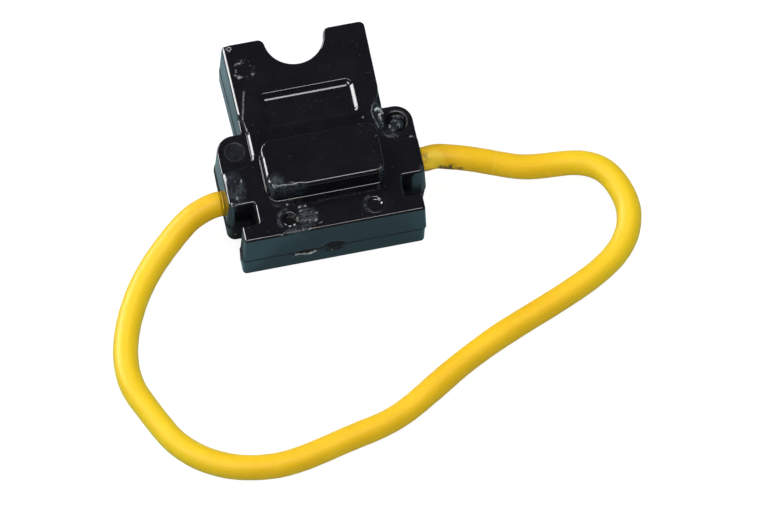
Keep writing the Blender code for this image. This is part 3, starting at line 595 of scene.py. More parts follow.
# Pale flecks as their places and widths; the back ones are painted glints on the post heads
FRONT_FLECKS = [
    (-5.27, 4.57, 13.0, 0.24), (-5.17, 3.8, 13.0, 0.18), (-4.33, 4.56, 13.0, 0.2), (-4.7, 4.2, 13.05, 0.14),
    (-4.22, 3.42, 13.05, 0.12), (-2.78, 2.94, 13.0, 0.12), (-3.04, 1.7, 13.0, 0.1), (-7.23, 5.43, 13.0, 0.14),
    (-2.22, 1.07, 13.0, 0.1), (-9.1, 0.15, 12.95, 0.16), (16.1, 13.7, 12.0, 0.14), (15.75, 13.9, 12.0, 0.1),
    (-16.3, 11.9, 13.0, 0.1), (-13.9, 11.2, 13.0, 0.1), (-13.6, 9.6, 13.0, 0.1), (-14.6, 9.2, 13.0, 0.12),
    (-16.3, 7.4, 12.9, 0.22), (-15.6, 7.05, 12.9, 0.16), (-15.2, 8.1, 13.0, 0.1), (8.55, 18.6, 13.0, 0.12),
]
BACK_GLINTS = [(-8.05, 2.0, 12.92, 0.34), (-7.5, 1.55, 12.92, 0.3), (-6.75, 1.62, 12.92, 0.28),
               (12.8, 16.6, 12.0, 0.12)]

# A faint scratch down the left side of the chute
SCRATCH = [(-10.17, 27.3, 13), (-10.7, 25.4, 13), (-11.02, 23.9, 13), (-11.6, 21.8, 13)]


def flecks(x, y, z, spots):
    """1 on the small flecks, falling to 0 just outside them."""
    near = 1e9
    for cx, cy, cz, width in spots:
        near = np.minimum(near, np.sqrt((x - cx) ** 2 + (y - cy) ** 2 + (z - cz) ** 2) - 0.5 * width)
    return np.clip(1 - near / 0.12, 0, 1)


def rim(x, y, cx, cy, radius, low, high):
    """1 on an arc about a centre, between two angles."""
    angle = np.degrees(np.arctan2(y - cy, x - cx)) % 360
    on = np.clip((angle - low) / 15, 0, 1) * np.clip((high - angle) / 15, 0, 1)
    return on * np.clip(1.4 - np.abs(np.hypot(x - cx, y - cy) - radius) / 0.2, 0, 1)


# Worn patches: strength, centre, half sizes, turn in degrees, and the level above which they lie
FRONT_WEAR = [
    (0.7, -15.2, 10.0, 1.7, 3.2, 0, 10.5),
    (1.0, -4.3, 2.75, 1.7, 1.7, 0, 10.5),
    (0.8, -6.2, 0.7, 2.4, 0.8, 8, 10.5),
    (0.8, 11.2, 18.4, 0.9, 2.9, 0, 10.5),
    (0.9, 12.4, 14.95, 1.5, 0.8, -20, 10.5),
    (1.0, -8.9, 7.7, 1.5, 2.0, -20, 13.6),
    (0.9, -6.4, 6.6, 2.8, 0.9, 0, 13.6),
    (1.0, 9.6, 6.6, 0.8, 1.0, 0, 13.2),
    (0.8, -15.9, 6.95, 0.7, 0.4, 0, 10.5),
    (0.8, 16.3, 7.3, 0.6, 0.8, 0, 10.5),
    (0.8, 12.5, 4.8, 0.3, 1.8, 0, 12.0),
    (0.6, 15.9, 13.7, 0.5, 0.4, 0, 10.5),
]
BACK_WEAR = [(1.0, 13.7, 16.7, 1.7, 1.6, 0, 10.5), (0.35, -13.85, 17.05, 1.5, 1.5, 0, 10.5)]

# Rims of the seats, worn and with a painted teal sheen: strength, centre, radius, and the angles they run
# between
FRONT_SHEEN_RIMS = [(0.8, 7.37, 2.7, 1.95, 100, 250), (1.0, -7.4, 2.72, 2.0, 80, 230),
              (0.4, 13.97, 17.1, 1.98, 0, 130)]
BACK_SHEEN_RIMS = [(1.0, 7.37, 2.7, 1.65, 100, 250), (1.0, -7.4, 2.72, 1.7, 80, 230)]


def wear_at(x, y, z, patches, rims):
    """How worn the plastic is at each point, from 0 to 1, with a painted teal sheen on the seats' rims."""
    wear_and_sheen = 0.0
    for strength, cx, cy, rx, ry, turn, level in patches:
        wear_and_sheen = np.maximum(wear_and_sheen, strength * patch(x, y, cx, cy, rx, ry, turn) * (z > level))
    for strength, *arc in rims:
        wear_and_sheen = np.maximum(wear_and_sheen, strength * rim(x, y, *arc) * (z > 10.5))
    return wear_and_sheen


def front_wear(x, y, z):
    """Where the front shell is scuffed, melted or rough, and where a teal sheen is painted on three seats'
    rims.
    """
    film = np.clip(1 - rope(x, y, z, FILM, 0.2) / 0.2, 0, 1) * (z > 10.5)
    return np.maximum(wear_at(x, y, z, FRONT_WEAR, FRONT_SHEEN_RIMS), film)


def back_wear(x, y, z):
    """The same for the melted post heads, with a teal sheen painted on two seats' rims."""
    return wear_at(x, y, z, BACK_WEAR, BACK_SHEEN_RIMS)


def front_pale_and_highlights(x, y, z):
    """Where thin flash, a scratch and small flecks are pale, and where thin light arcs on two seats' rims are
    painted highlights.
    """
    near = np.minimum(rope(x, y, z, FLASH, 0.15), rope(x, y, z, FLASH_LOOP, 0.08) + 0.06)
    pale = np.clip(1 - near / 0.09, 0, 1)
    scratch = 0.3 * np.clip(1 - rope(x, y, z, SCRATCH, 0.04) / 0.12, 0, 1)
    # Painted highlights: a thin light arc on the right ear seat's rim and a faint light ring round the left
    # ear seat
    arc = 0.06 * rim(x, y, 13.97, 17.1, 2.0, 0, 110) * (z > 11.6)
    arc = np.maximum(arc, 0.035 * rim(x, y, -13.85, 17.05, 1.62, -20, 400) * (z > 11.6))
    lines = np.maximum(np.maximum(pale, scratch), arc)
    return np.maximum(lines, flecks(x, y, z, FRONT_FLECKS))


def back_pale_and_glints(x, y, z):
    """Where the chipped lip is pale, and where painted glints sit on the post heads."""
    lip = 0.9 * np.clip(1 - rope(x, y, z, CHIP_LIP, 0.13) / 0.1, 0, 1)
    return np.maximum(lip, flecks(x, y, z, BACK_GLINTS))


def dull_and_shade(x, y, z):
    """Where the moulding is matt, such as the parting edges and the broken gate, and where painted shade
    makes the wall in the pockets by the foot strip dark and matt.
    """
    edge = np.clip(1.9 - np.abs(z - PARTING) / 0.13, 0, 1)
    # Painted shade: the middle wall in each pocket by the foot strip is made dark and matt
    shaded_pocket = (np.abs(np.abs(x) - 12.5) < 0.45) & (y > 3.0) & (y < 6.6) & (z > 4) & (z < 12.5)
    gate = patch(x, z, -0.1, 4.85, 1.75, 1.55)
    chip = patch(x, z, -4.9, 4.5, 2.2, 0.7) * (rope(x, y, z, CHIP_LIP, 0.12) > 0.12)
    return np.maximum(np.maximum(edge, shaded_pocket), np.where(y < 0.6, np.maximum(gate, chip), 0))


# Meshes from signed distances

# The longest step of a point towards the surface, in millimetres
LONGEST_MOVE = 0.12


def axis_lines(low, high, fine, coarse, bands):
    """Grid lines from low to high, close together inside the bands."""
    lines = [low]
    while lines[-1] < high:
        here = lines[-1]
        step = coarse
        for start, end in bands:
            if start - coarse < here < end:
                step = fine
        lines.append(here + step)
    return np.array(lines, np.float64)


def gradient(f, p, step=0.02):
    """Slope of a distance at some points, by central differences."""
    g = np.empty_like(p)
    for axis in range(3):
        q = p.copy()
        q[:, axis] += step
        high = f(q[:, 0], q[:, 1], q[:, 2])
        q[:, axis] -= 2 * step
        g[:, axis] = (high - f(q[:, 0], q[:, 1], q[:, 2])) / (2 * step)
    return g


def crossed_cells(values, xs, ys, zs):
    """Numbers the grid cells that the zero surface goes through and finds a middle point in each."""
    inside = values < 0
    corners = [(i, j, k) for i in (0, 1) for j in (0, 1) for k in (0, 1)]
    shape = tuple(n - 1 for n in values.shape)
    count = np.zeros(shape, np.int8)
    for i, j, k in corners:
        count += inside[i:i + shape[0], j:j + shape[1], k:k + shape[2]]
    cells = np.argwhere((count > 0) & (count < 8))
    index = np.full(shape, -1, np.int64)
    index[tuple(cells.T)] = np.arange(len(cells))
    total = np.zeros((len(cells), 3))
    hits = np.zeros(len(cells))
    for a in corners:
        for axis in range(3):
            if a[axis]:
                continue
            b = tuple(v + (1 if n == axis else 0) for n, v in enumerate(a))
            ca = cells + a
            cb = cells + b
            va = values[tuple(ca.T)]
            vb = values[tuple(cb.T)]
            crossed = (va < 0) != (vb < 0)
            share = np.where(crossed, va / np.where(crossed, va - vb, 1), 0)
            pa = np.stack([xs[ca[:, 0]], ys[ca[:, 1]], zs[ca[:, 2]]], 1)
            pb = np.stack([xs[cb[:, 0]], ys[cb[:, 1]], zs[cb[:, 2]]], 1)
            total += np.where(crossed[:, None], pa + (pb - pa) * share[:, None], 0)
            hits += crossed
    return index, total / hits[:, None]


def cell_quads(inside, index):
    """One face for every grid line between an inside and an outside point, through the cells round it."""
    quads = []
    for axis in range(3):
        here = [slice(1, -1)] * 3
        here[axis] = slice(0, -1)
        there = list(here)
        there[axis] = slice(1, None)
        spots = np.argwhere(inside[tuple(here)] != inside[tuple(there)])
        offset = np.array([1, 1, 1])
        offset[axis] = 0
        spots = spots + offset
        falling = inside[tuple(spots.T)]
        u, v = (axis + 1) % 3, (axis + 2) % 3
        ring = []
        for du, dv in ((1, 1), (0, 1), (0, 0), (1, 0)):
            cell = spots.copy()
            cell[:, u] -= du
            cell[:, v] -= dv
            ring.append(index[tuple(cell.T)])
        quad = np.stack(ring, 1)
        quad[~falling] = quad[~falling][:, ::-1]
        quads.append(quad)
    return np.concatenate(quads)


def onto_surface(f, points):
    """Moves points onto the zero surface in three short steps."""
    for _ in range(3):
        g = gradient(f, points)
        d = f(points[:, 0], points[:, 1], points[:, 2])
        move = d[:, None] * g / np.maximum((g * g).sum(1), 0.3)[:, None]
        length = np.linalg.norm(move, axis=1)
        move *= np.minimum(1, LONGEST_MOVE / np.maximum(length, 1e-9))[:, None]
        points = points - move
    return points


def surface_mesh(name, f, xs, ys, zs):
    """Finds the zero surface of f on a grid and returns a smooth mesh object and its points."""
    values = f(xs[:, None, None], ys[None, :, None], zs[None, None, :]).astype(np.float32)
    index, points = crossed_cells(values, xs, ys, zs)
    quads = cell_quads(values < 0, index)
    points = onto_surface(f, points)
    normals = gradient(f, points, 0.03)
    normals /= np.maximum(np.linalg.norm(normals, axis=1), 1e-9)[:, None]
    place = (points - [0, Y_ORIGIN, 0]) * MM
    mesh = bpy.data.meshes.new(name)
    mesh.vertices.add(len(place))
    mesh.vertices.foreach_set("co", place.astype(np.float32).ravel())
    mesh.loops.add(len(quads) * 4)
    mesh.loops.foreach_set("vertex_index", quads.astype(np.int32).ravel())
    mesh.polygons.add(len(quads))
    mesh.polygons.foreach_set("loop_start", np.arange(0, len(quads) * 4, 4, dtype=np.int32))
    mesh.update(calc_edges=True)
    mesh.validate()
    mesh.shade_smooth()
    mesh.normals_split_custom_set_from_vertices(normals.tolist())
    return add_object(name, mesh), points


def add_attribute(piece, name, values):
    """Stores one number for every vertex."""
    layer = piece.data.attributes.new(name, "FLOAT", "POINT")
    layer.data.foreach_set("value", np.asarray(values, np.float32))


# The yellow wire

WIRE_SIDES = 40
WIRE_UNEVEN = 0.05
LEAD_SPACING = 0.5
TAIL_SPACING = 0.25
STRAIGHT_EXIT = 1.0
TAIL_BEND = (14.9, 16.7)
RING_RUN = 12.6

# Points along the free wire in the frame, in millimetres
ROUTE = [
    (19.9, -5.5, 5.0), (21.8, -6.03, 5.2), (23.9, -6.6, 5.1), (26.5, -7.25, 4.55),
    (29.6, -8.1, 3.71), (34.1, -9.4, 2.85), (38.9, -9.8, 2.3), (44.2, -10.4, 2.16),
    (48.0, -12.7, 2.15), (49.8, -16.2, 2.15), (50.4, -20.3, 2.15), (49.0, -24.9, 2.15),
    (45.3, -28.9, 2.15), (39.9, -32.1, 2.15), (32.4, -35.3, 2.15), (24.5, -38.5, 2.15),
    (17.1, -42.1, 2.15), (10.0, -46.3, 2.15), (3.3, -49.8, 2.15), (-3.9, -51.6, 2.15),
    (-10.7, -53.2, 2.15), (-16.7, -54.0, 2.15), (-22.6, -53.3, 2.15), (-28.1, -51.1, 2.15),
    (-32.9, -46.8, 2.15), (-36.0, -41.0, 2.15), (-38.2, -35.5, 2.15), (-38.4, -30.1, 2.15),
    (-37.0, -24.8, 2.15), (-34.6, -19.8, 2.15), (-31.7, -15.7, 2.27), (-28.6, -12.5, 2.85),
    (-25.2, -9.7, 3.71), (-21.9, -7.7, 4.4),
]


def wire_end(side, x=WIRE_FACE):
    """The middle of the wire in its hole on one side, -1 for left and 1 for right."""
    return np.array([side * x, WIRE_Y + side * WIRE_FLOAT - Y_ORIGIN, PARTING])


def smooth_line(points, spacing, first, last):
    """A cubic through the points, read at even steps, and its length.

    first and last are the directions at its ends, each of length 1.
    """
    points = np.asarray(points, float)
    chord = np.sqrt(np.linalg.norm(np.diff(points, axis=0), axis=1))
    knots = np.concatenate([[0], np.cumsum(chord)])
    n = len(points)
    a = np.zeros((n, n))
    rhs = np.zeros((n, 3))
    h = np.diff(knots)
    for i in range(1, n - 1):
        a[i, i - 1], a[i, i], a[i, i + 1] = h[i], 2 * (h[i - 1] + h[i]), h[i - 1]
        rhs[i] = 3 * (h[i] * (points[i] - points[i - 1]) / h[i - 1]
                      + h[i - 1] * (points[i + 1] - points[i]) / h[i])
    a[0, 0] = a[-1, -1] = 1
    rhs[0] = np.array(first) * np.linalg.norm(points[1] - points[0]) / h[0]
    rhs[-1] = np.array(last) * np.linalg.norm(points[-1] - points[-2]) / h[-1]
    slopes = np.linalg.solve(a, rhs)
    fine = []
    for i in range(n - 1):
        t = np.linspace(0, 1, 40, endpoint=False)[:, None]
        fine.append(points[i] * (2 * t**3 - 3 * t**2 + 1) + slopes[i] * h[i] * (t**3 - 2 * t**2 + t)
                    + points[i + 1] * (3 * t**2 - 2 * t**3) + slopes[i + 1] * h[i] * (t**3 - t**2))
    fine = np.concatenate(fine + [points[-1:]])
    run = np.concatenate([[0], np.cumsum(np.linalg.norm(np.diff(fine, axis=0), axis=1))])
    steps = max(2, int(round(run[-1] / spacing)))
    goal = np.linspace(0, run[-1], steps + 1)
    return np.stack([np.interp(goal, run, fine[:, k]) for k in range(3)], 1), run[-1]


def tube(name, line, radius, sides, uneven=0.0):
    """A round covered wire along a line, with slight thick and thin places."""
    tangents = np.gradient(line, axis=0)
    tangents /= np.linalg.norm(tangents, axis=1)[:, None]
    normal = np.cross(tangents[0], [0, 0, 1.0])
    normal /= np.linalg.norm(normal)
    frames = []
    for tangent in tangents:
        normal = normal - tangent * (normal @ tangent)
        normal /= np.linalg.norm(normal)
        frames.append((normal.copy(), np.cross(tangent, normal)))
    angle = np.linspace(0, 2 * math.pi, sides, endpoint=False)
    rings = []
    for centre, (u, v) in zip(line, frames):
        rings.append(centre + radius * (np.cos(angle)[:, None] * u + np.sin(angle)[:, None] * v))
    points = np.concatenate(rings)
    outward = points - np.repeat(line, sides, axis=0)
    outward /= np.linalg.norm(outward, axis=1)[:, None]
    if uneven:
        swell = waves(points[:, 0], points[:, 1], points[:, 2], 14, 5) * 0.6
        swell += waves(points[:, 0], points[:, 1], points[:, 2], 4, 6) * 0.4
        points = points + outward * (swell * uneven)[:, None]
    faces = []
    for i in range(len(line) - 1):
        for j in range(sides):
            k = (j + 1) % sides
            faces.append((i * sides + j, (i + 1) * sides + j, (i + 1) * sides + k, i * sides + k))
    last = (len(line) - 1) * sides
    faces.append(tuple(range(sides)))
    faces.append(tuple(range(last + sides - 1, last - 1, -1)))
    mesh = bpy.data.meshes.new(name)
    mesh.from_pydata((points * MM).tolist(), [], faces)
    mesh.shade_smooth()
    mesh.update()
    piece = add_object(name, mesh)
    run = np.concatenate([[0], np.cumsum(np.linalg.norm(np.diff(line, axis=0), axis=1))])
    add_attribute(piece, "along", np.repeat(run, sides))
    add_attribute(piece, "around", np.tile(angle, len(line)))
    return piece


# Yellows of the cover and its grime
YELLOW = (0.755, 0.435, 0.005, 1)
LIGHT_YELLOW = (0.80, 0.475, 0.008, 1)
BEND_YELLOW = (0.80, 0.535, 0.010, 1)
SPECK_YELLOW = (0.7, 0.42, 0.01, 1)
LEMON_YELLOW = (0.95, 0.66, 0.05, 1)
RING_YELLOW = (0.95, 0.72, 0.12, 1)
GRIME_BROWN = (0.05, 0.045, 0.03, 1)

# A lemon patch at the right exit: its centre, and where it starts to fade and ends
LEMON_SPOT = ((19.4, 11.3, 6.2), 1.0, 2.6)

# Grime at the right exit in the same way, with its strength
GRIME_SPOTS = [((20.9, 10.0, 5.3), 0.5, 1.3, 1.0), ((22.2, 9.7, 5.4), 0.5, 1.3, 1.0),
               ((23.6, 9.4, 5.1), 0.3, 1.1, 1.0), ((18.0, 11.9, 6.5), 0.3, 1.5, 0.6),
               ((18.4, 10.4, 4.4), 0.2, 1.2, 0.7)]


def make_wire_material():
    """Yellow vinyl with a lemon patch, grime, a faint ring and a fine print."""
    n = Nodes("yellow_vinyl_cover")
    along = n.stored("along")
    around = n.stored("around")
    broad = n.noise(160, 3)
    fine = n.noise(1800, 2)
    colour = n.mix(n.ramp(broad, 0.3, 0.7), YELLOW, LIGHT_YELLOW)
    # A lighter, more lemon yellow round the two far bends
    across = n.add("ShaderNodeSeparateXYZ", {0: n.place}).outputs["X"]
    far = n.ramp(n.gap(across, 0.007), 0.027, 0.041)
    colour = n.paint(colour, far, 0.8, BEND_YELLOW)
    colour = n.paint(colour, n.ramp(fine, 0.6, 0.8), 0.12, SPECK_YELLOW)
    colour = n.paint(colour, n.spot(*LEMON_SPOT), 0.8, LEMON_YELLOW)
    grime = 0.0
    for *spot, strength in GRIME_SPOTS:
        grime = n.most(grime, n.times(n.spot(*spot), strength))
    patchy = n.ramp(n.noise(900, 3, 0.6), 0.36, 0.56)
    colour = n.paint(colour, n.times(grime, patchy), 0.9, GRIME_BROWN)
    # A faint ring a little way along
    ring = n.ramp(n.gap(along, RING_RUN), 0.25, 0.1)
    colour = n.paint(colour, ring, 0.14, RING_YELLOW)
    n.set("Base Color", colour)
    n.set("Roughness", n.maths("MULTIPLY_ADD", broad, 0.14, 0.38))
    # Two sets of ridges that cross
    lengthways = n.times(along, 9.0)
    turning = n.times(around, 14.0)
    right_ridges = n.maths("SINE", n.plus(lengthways, turning))
    left_ridges = n.maths("SINE", n.maths("SUBTRACT", lengthways, turning))
    weave = n.times(right_ridges, left_ridges)
    height = n.plus(n.times(fine, 0.6), n.times(weave, 0.3))
    n.set("Normal", n.bump(height, 0.16, 0.0002))
    n.set("Specular IOR Level", 0.22)
    n.set("Subsurface Weight", 0.1)
    n.set("Subsurface Radius", (0.6, 0.3, 0.05))
    n.set("Subsurface Scale", 0.0008)
    return n.material


route = [wire_end(1), wire_end(1) + [STRAIGHT_EXIT, 0, 0]] + [np.array(p) for p in ROUTE]
route += [wire_end(-1) - [STRAIGHT_EXIT, 0, 0], wire_end(-1)]
wire_line, wire_length = smooth_line(route, LEAD_SPACING, (1, 0, 0), (1, 0, 0))
wire_material = make_wire_material()
lead = tube("lead_wire_cover", wire_line, WIRE_RADIUS, WIRE_SIDES, WIRE_UNEVEN)
lead.data.materials.append(wire_material)
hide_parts("lead_wire")
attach(lead, "root")
for label, side in (("left", -1), ("right", 1)):
    start = np.array([side * GRIP_START, WIRE_Y - Y_ORIGIN, PARTING])
    middle = np.array([side * TAIL_BEND[0], WIRE_Y - Y_ORIGIN, PARTING])
    tail_points = [start, middle, wire_end(side, TAIL_BEND[1]), wire_end(side)]
    line, _ = smooth_line(tail_points, TAIL_SPACING, (side, 0, 0), (side, 0, 0))
    tail = tube(label + "_wire_end", line, WIRE_RADIUS - 0.01, WIRE_SIDES)
    tail.data.materials.append(wire_material)
    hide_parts(label + "_wire_tail")
    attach(tail, "root")

# The shells

# Blacks and greys of the moulding
FRONT_BLACK = (0.0050, 0.0045, 0.0066, 1)
BACK_BLACK = (0.0050, 0.0047, 0.0066, 1)
# Worn black, tinted teal to paint the sheen that scuffed places and seats' rims show
WORN_SHEEN_BLACK = (0.011, 0.020, 0.030, 1)
# Matt black for the parting edges and gate, and painted shade in the pockets
DULL_AND_SHADE_BLACK = (0.018, 0.016, 0.018, 1)
STREAK_GREY = (0.055, 0.075, 0.09, 1)
DUST_GREY = (0.06, 0.07, 0.085, 1)
FINE_DUST_GREY = (0.04, 0.045, 0.06, 1)
# Pale grey for flash, scratch, flecks and stains, and for painted highlights and glints
PALE_AND_GLINT_GREY = (0.50, 0.53, 0.54, 1)

# Two rings on the front face, each as its centre, radius and width: a smudge, and a painted glint on the
# small ring by the corner
SMUDGE_RING = ((-9.39, 31.17, 13.0), 1.6, 0.5)
CORNER_RING_GLINT = ((-11.12, 35.5, 13.0), 0.32, 0.16)


def make_shell_material(name, tint, ior, smudge_and_glint):
    """Black moulded plastic that follows the stored values of its mesh: worn places with a painted teal
    sheen, pale marks with painted glints and highlights, and matt places with painted shade in the pockets.
    """
    n = Nodes(name)
    wear_and_sheen = n.stored("wear_and_sheen")
    pale = n.stored("pale")
    flat = n.stored("dull_and_shade")
    cloud = n.noise(260, 4)
    grain = n.noise(2600, 3)
    breakup = n.ramp(n.noise(900, 3, 0.55), 0.36, 0.66)
    worn = n.times(wear_and_sheen, n.maths("MULTIPLY_ADD", breakup, 0.7, 0.3))
    flecked = n.ramp(n.noise(1700, 2), 0.28, 0.5)
    # Pale flash and flecks, with the painted highlights and glints that the pale values carry
    flash = n.times(pale, n.maths("MULTIPLY_ADD", flecked, 0.7, 0.3))
    if smudge_and_glint:
        blotches = n.ramp(n.noise(1500, 3), 0.47, 0.70)
        smudge = n.times(n.ring(*SMUDGE_RING), blotches)
        # A painted glint on the small moulded ring by the corner
        corner = n.times(n.ring(*CORNER_RING_GLINT), 0.36)
        flash = n.most(flash, n.most(n.times(smudge, 0.4), corner))
    colour = n.mix(n.ramp(cloud, 0.35, 0.7), tint, tuple(c * 1.3 for c in tint[:3]) + (1,))
    # Worn places, with the painted teal sheen
    colour = n.paint(colour, worn, 0.75, WORN_SHEEN_BLACK)
    streaks = n.ramp(n.noise(1500, 5, 0.65, 1.8), 0.50, 0.64)
    colour = n.paint(colour, n.times(worn, streaks), 0.5, STREAK_GREY)
    # Matt black on the parting edges and gate, and painted shade on the pockets' walls
    colour = n.paint(colour, flat, 0.8, DULL_AND_SHADE_BLACK)
    colour = n.paint(colour, n.dust(900.0, 0.085, 0.48), 0.5, DUST_GREY)
    colour = n.paint(colour, n.dust(1500.0, 0.12, 0.50), 0.3, FINE_DUST_GREY)
    # Pale grey over the flash and stains, and over the painted highlights and glints
    colour = n.mix(flash, colour, PALE_AND_GLINT_GREY)
    n.set("Base Color", colour)
    rough = n.maths("MULTIPLY_ADD", cloud, 0.10, 0.07)
    rough = n.plus(rough, n.times(worn, 0.30))
    rough = n.plus(rough, n.times(flash, 0.3))
    rough = n.plus(rough, n.times(flat, 0.45))
    n.set("Roughness", rough)
    n.set("Specular IOR Level", n.maths("MULTIPLY_ADD", flat, -0.42, 0.5))
    n.set("IOR", ior)
    height = n.plus(n.times(grain, 0.15), n.times(cloud, 0.5))
    first = n.bump(height, 0.08, 0.0003)
    n.set("Normal", n.bump(worn, 0.07, 0.0002, first))
    return n.material


# The meshes' steps, and the places where they are fine, in millimetres
FINE, COARSE = ((0.17, 0.42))
X_BANDS = [(-18.2, -5.6), (5.6, 18.2), (-3.6, -3.0)]
Y_BANDS = [(-0.6, 7.9), (12.9, 20.7), (22.3, 26.4), (35.0, 36.9)]
FRONT_BANDS = [(4.6, 5.3), (11.2, 13.3), (16.0, 17.2)]
BACK_BANDS = [(-0.3, 0.6), (3.2, 5.1), (11.2, 13.2)]
GRID_X = axis_lines(-18.25, 18.0, FINE, COARSE, X_BANDS)
GRID_Y = axis_lines(-0.7, 36.9, FINE, COARSE, Y_BANDS)
FRONT_LEVELS = axis_lines(4.2, 17.6, FINE * 0.75, COARSE * 1.2, FRONT_BANDS)
BACK_LEVELS = axis_lines(-0.4, 13.4, FINE * 0.75, COARSE * 1.2, BACK_BANDS)


def build_shell(name, f, wear_and_sheen, pale, levels, material, node):
    """Meshes one shell, stores where it is worn, and puts it in place of its solid."""
    piece, points = surface_mesh(name, f, GRID_X, GRID_Y, levels)
    x, y, z = points.T
    for label, amount in (("wear_and_sheen", wear_and_sheen), ("pale", pale), ("dull_and_shade", dull_and_shade)):
        add_attribute(piece, label, amount(x, y, z))
    piece.data.materials.append(material)
    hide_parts(node)
    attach(piece, "root")


front_plastic = make_shell_material("black_moulded_front", FRONT_BLACK, 1.46, True)
back_plastic = make_shell_material("black_moulded_back", BACK_BLACK, 1.56, False)
build_shell("front_housing", front_shell, front_wear, front_pale_and_highlights, FRONT_LEVELS, front_plastic, "front_shell")
build_shell("back_housing", back_shell, back_wear, back_pale_and_glints, BACK_LEVELS, back_plastic, "back_shell")

# Terminals and strands keep their solids and get their metals


def make_metal(name, colour, dark, roughness):
    """Metal in two tones that run into each other."""
    n = Nodes(name)
    cloud = n.noise(500, 4)
    n.set("Base Color", n.mix(n.ramp(cloud, 0.35, 0.7), colour, dark))
    n.set("Metallic", 1.0)
    n.set("Roughness", n.maths("MULTIPLY_ADD", cloud, 0.2, roughness))
    n.set("Normal", n.bump(n.noise(3000, 2), 0.1, 0.0001))
    return n.material


brass = make_metal("tinned_brass", colour=(0.72, 0.68, 0.56, 1), dark=(0.6, 0.52, 0.36, 1), roughness=0.22)
copper = make_metal("copper_strands", colour=(0.78, 0.42, 0.26, 1), dark=(0.5, 0.25, 0.15, 1), roughness=0.28)
for label in ("left", "right"):
    for node, metal in ((label + "_terminal", brass), (label + "_strands", copper)):
        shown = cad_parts[node]
        shown.data.materials.clear()
        shown.data.materials.append(metal)

# Floor, world and lamps

FLOOR_HALF = 6.0
FLOOR_DROP = 0.00005
FLOOR_TO_CAMERA = 0.9
FLOOR_TO_MIRRORS = 0.03
WHITE = (1, 1, 1, 1)

# The paper's colour to the camera, under its glow
PAPER_SEEN = (0.2, 0.2, 0.2, 1)

# Painted shade on the paper that the object gets back in reflections and bounced light: teal in front of its
# foot, greyer beside it, a painted dark shadow in the gaps by the foot, and dim far off
PAPER_SHADE_BEFORE = (0.20, 0.42, 0.50, 1)
PAPER_SHADE_BESIDE = (0.225, 0.345, 0.385, 1)
PAPER_SHADOW_CLOSE = (0.03, 0.05, 0.06, 1)
PAPER_SHADE_FAR = (0.08, 0.12, 0.14, 1)

# The colour of the even light and of the room that mirrors see
SOFT_LIGHT = (0.78, 0.93, 1.0, 1)
ROOM_LIGHT = (0.97, 0.95, 1.0, 1)


def make_floor():
    """White glowing paper, which takes shadows; to reflections and bounced light it shows painted teal shade
    near the object, a painted dark shadow in the gaps by its foot and a dim painted shade far off.
    """
    n = Nodes("floor_paper")
    tree = n.tree
    tree.nodes.remove(n.shader)
    path = n.add("ShaderNodeLightPath").outputs
    mirrored = n.most(path["Is Glossy Ray"], path["Is Transmission Ray"])
    seen = n.times(path["Is Camera Ray"], FLOOR_TO_CAMERA)
    strength = n.maths("MULTIPLY_ADD", mirrored, FLOOR_TO_MIRRORS, seen)
    glow = n.add("ShaderNodeEmission", {"Color": WHITE, "Strength": strength})
    # Painted shade: teal in front of the foot, greyer beside it, and dim far off
    far = n.add("ShaderNodeVectorMath", {0: n.place}, operation="LENGTH").outputs["Value"]
    across = n.add("ShaderNodeSeparateXYZ", {0: n.place}).outputs
    beside = n.ramp(across["Y"], -0.017, -0.014)
    near = n.mix(beside, PAPER_SHADE_BEFORE, PAPER_SHADE_BESIDE)
    shade = n.mix(n.ramp(far, 0.05, 0.14), near, PAPER_SHADE_FAR)
    # Painted shadow: dark paper in the gaps between the foot strip and the ears
    side = n.ramp(n.gap(across["X"], 0.0005), 0.0168, 0.0188)
    end = n.ramp(n.gap(across["Y"], -0.0131), 0.0018, 0.0030)
    shade = n.mix(n.most(side, end), PAPER_SHADOW_CLOSE, shade)
    # The camera sees plain grey paper under its glow instead of the painted shade
    shade = n.mix(path["Is Camera Ray"], shade, PAPER_SEEN)
    paper = n.add("ShaderNodeBsdfDiffuse", {"Color": shade})
    both = n.add("ShaderNodeAddShader", {0: glow.outputs[0], 1: paper.outputs[0]})
    tree.links.new(both.outputs[0], n.output.inputs["Surface"])
    mesh = bpy.data.meshes.new("floor")
    corners = [(sx * FLOOR_HALF, sy * FLOOR_HALF, 0) for sx, sy in ((-1, -1), (1, -1), (1, 1), (-1, 1))]
    mesh.from_pydata(corners, [], [(0, 1, 2, 3)])
    mesh.materials.append(n.material)
    floor = add_object("floor", mesh)
    floor.location.z = -FLOOR_DROP


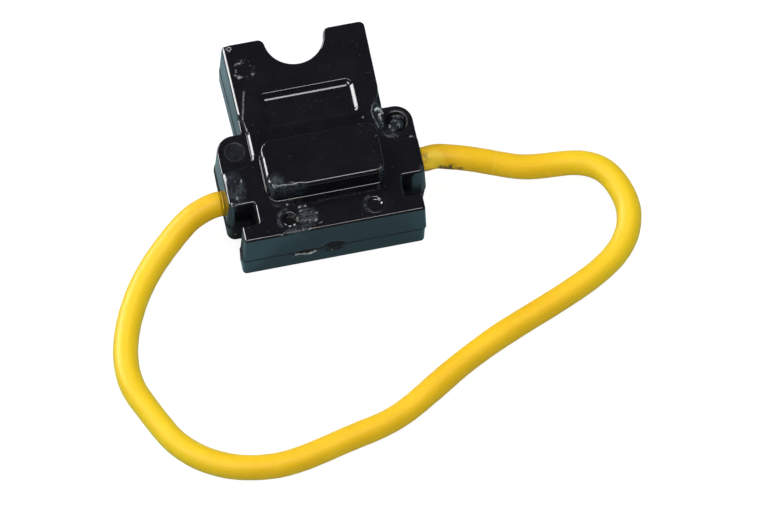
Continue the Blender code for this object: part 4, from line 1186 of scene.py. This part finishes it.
def make_world():
    """White to the camera, a dim room to mirrors, and a cool soft light on everything."""
    world = bpy.data.worlds.new("studio")
    world.use_nodes = True
    tree = world.node_tree
    tree.nodes.clear()

    def node(kind, **inputs):
        made = tree.nodes.new(kind)
        for key, value in inputs.items():
            socket = made.inputs[int(key[1:])]
            if isinstance(value, bpy.types.NodeSocket):
                tree.links.new(value, socket)
            else:
                socket.default_value = value
        return made

    path = node("ShaderNodeLightPath").outputs
    mirrored = node("ShaderNodeMath", i0=path["Is Glossy Ray"], i1=path["Is Transmission Ray"])
    mirrored.operation = "MAXIMUM"
    way = node("ShaderNodeTexCoord").outputs["Generated"]
    height = node("ShaderNodeSeparateXYZ", i0=way).outputs["Z"]
    rise = node("ShaderNodeMapRange", i0=height, i1=0.02, i2=0.5, i3=0.16, i4=0.07).outputs[0]
    soft = node("ShaderNodeBackground", i0=SOFT_LIGHT, i1=0.46)
    room = node("ShaderNodeBackground", i0=ROOM_LIGHT, i1=rise)
    white = node("ShaderNodeBackground", i0=WHITE, i1=1.0)
    inner = node("ShaderNodeMixShader", i0=mirrored.outputs[0], i1=soft.outputs[0], i2=room.outputs[0])
    outer = node("ShaderNodeMixShader", i0=path["Is Camera Ray"], i1=inner.outputs[0], i2=white.outputs[0])
    output = node("ShaderNodeOutputWorld")
    tree.links.new(outer.outputs[0], output.inputs[0])
    bpy.context.scene.world = world


def add_lamp(name, azimuth, elevation, distance, width, height, power, colour=(1, 1, 1), lean=0, card=True):
    """A soft box that looks at the object from a direction, azimuth from +X towards +Y.

    A card only makes highlights, and a lamp that is no card only makes the even light.
    """
    a, e = math.radians(azimuth), math.radians(elevation)
    way = Vector((math.cos(a) * math.cos(e), math.sin(a) * math.cos(e), math.sin(e)))
    data = bpy.data.lights.new(name, "AREA")
    data.shape = "RECTANGLE"
    data.size = width
    data.size_y = height
    data.energy = power
    data.color = colour
    lamp = add_object(name, data)
    lamp.location = way * distance
    lamp.rotation_mode = "QUATERNION"
    lamp.rotation_quaternion = way.to_track_quat("Z", "Y") @ Quaternion((0, 0, 1), math.radians(lean))
    lamp.visible_glossy = card
    lamp.visible_diffuse = not card


make_floor()
make_world()

# Each lamp's azimuth, elevation, distance, width, height and power
add_lamp("key_softbox", 80, 50, 1.2, 0.8, 0.5, 7.2, (1.0, 0.97, 0.93), card=False)
add_lamp("front_fill", -80, 46, 1.3, 0.45, 0.26, 6.6, (1.0, 0.91, 0.79), card=False)
add_lamp("left_fill", 152, 32, 1.0, 0.2, 0.6, 6.2, card=False)
add_lamp("left_card", 155.5, 24, 1.0, 0.2, 0.54, 7.5, lean=14)
add_lamp("corner_card", 133, 14, 1.0, 0.5, 0.3, 9.0)
add_lamp("bend_card", 205, 52, 1.0, 0.5, 0.24, 5.0)
add_lamp("top_card", -80, 87, 1.3, 0.5, 0.36, 7.5)

bpy.context.scene.view_settings.view_transform = "Standard"
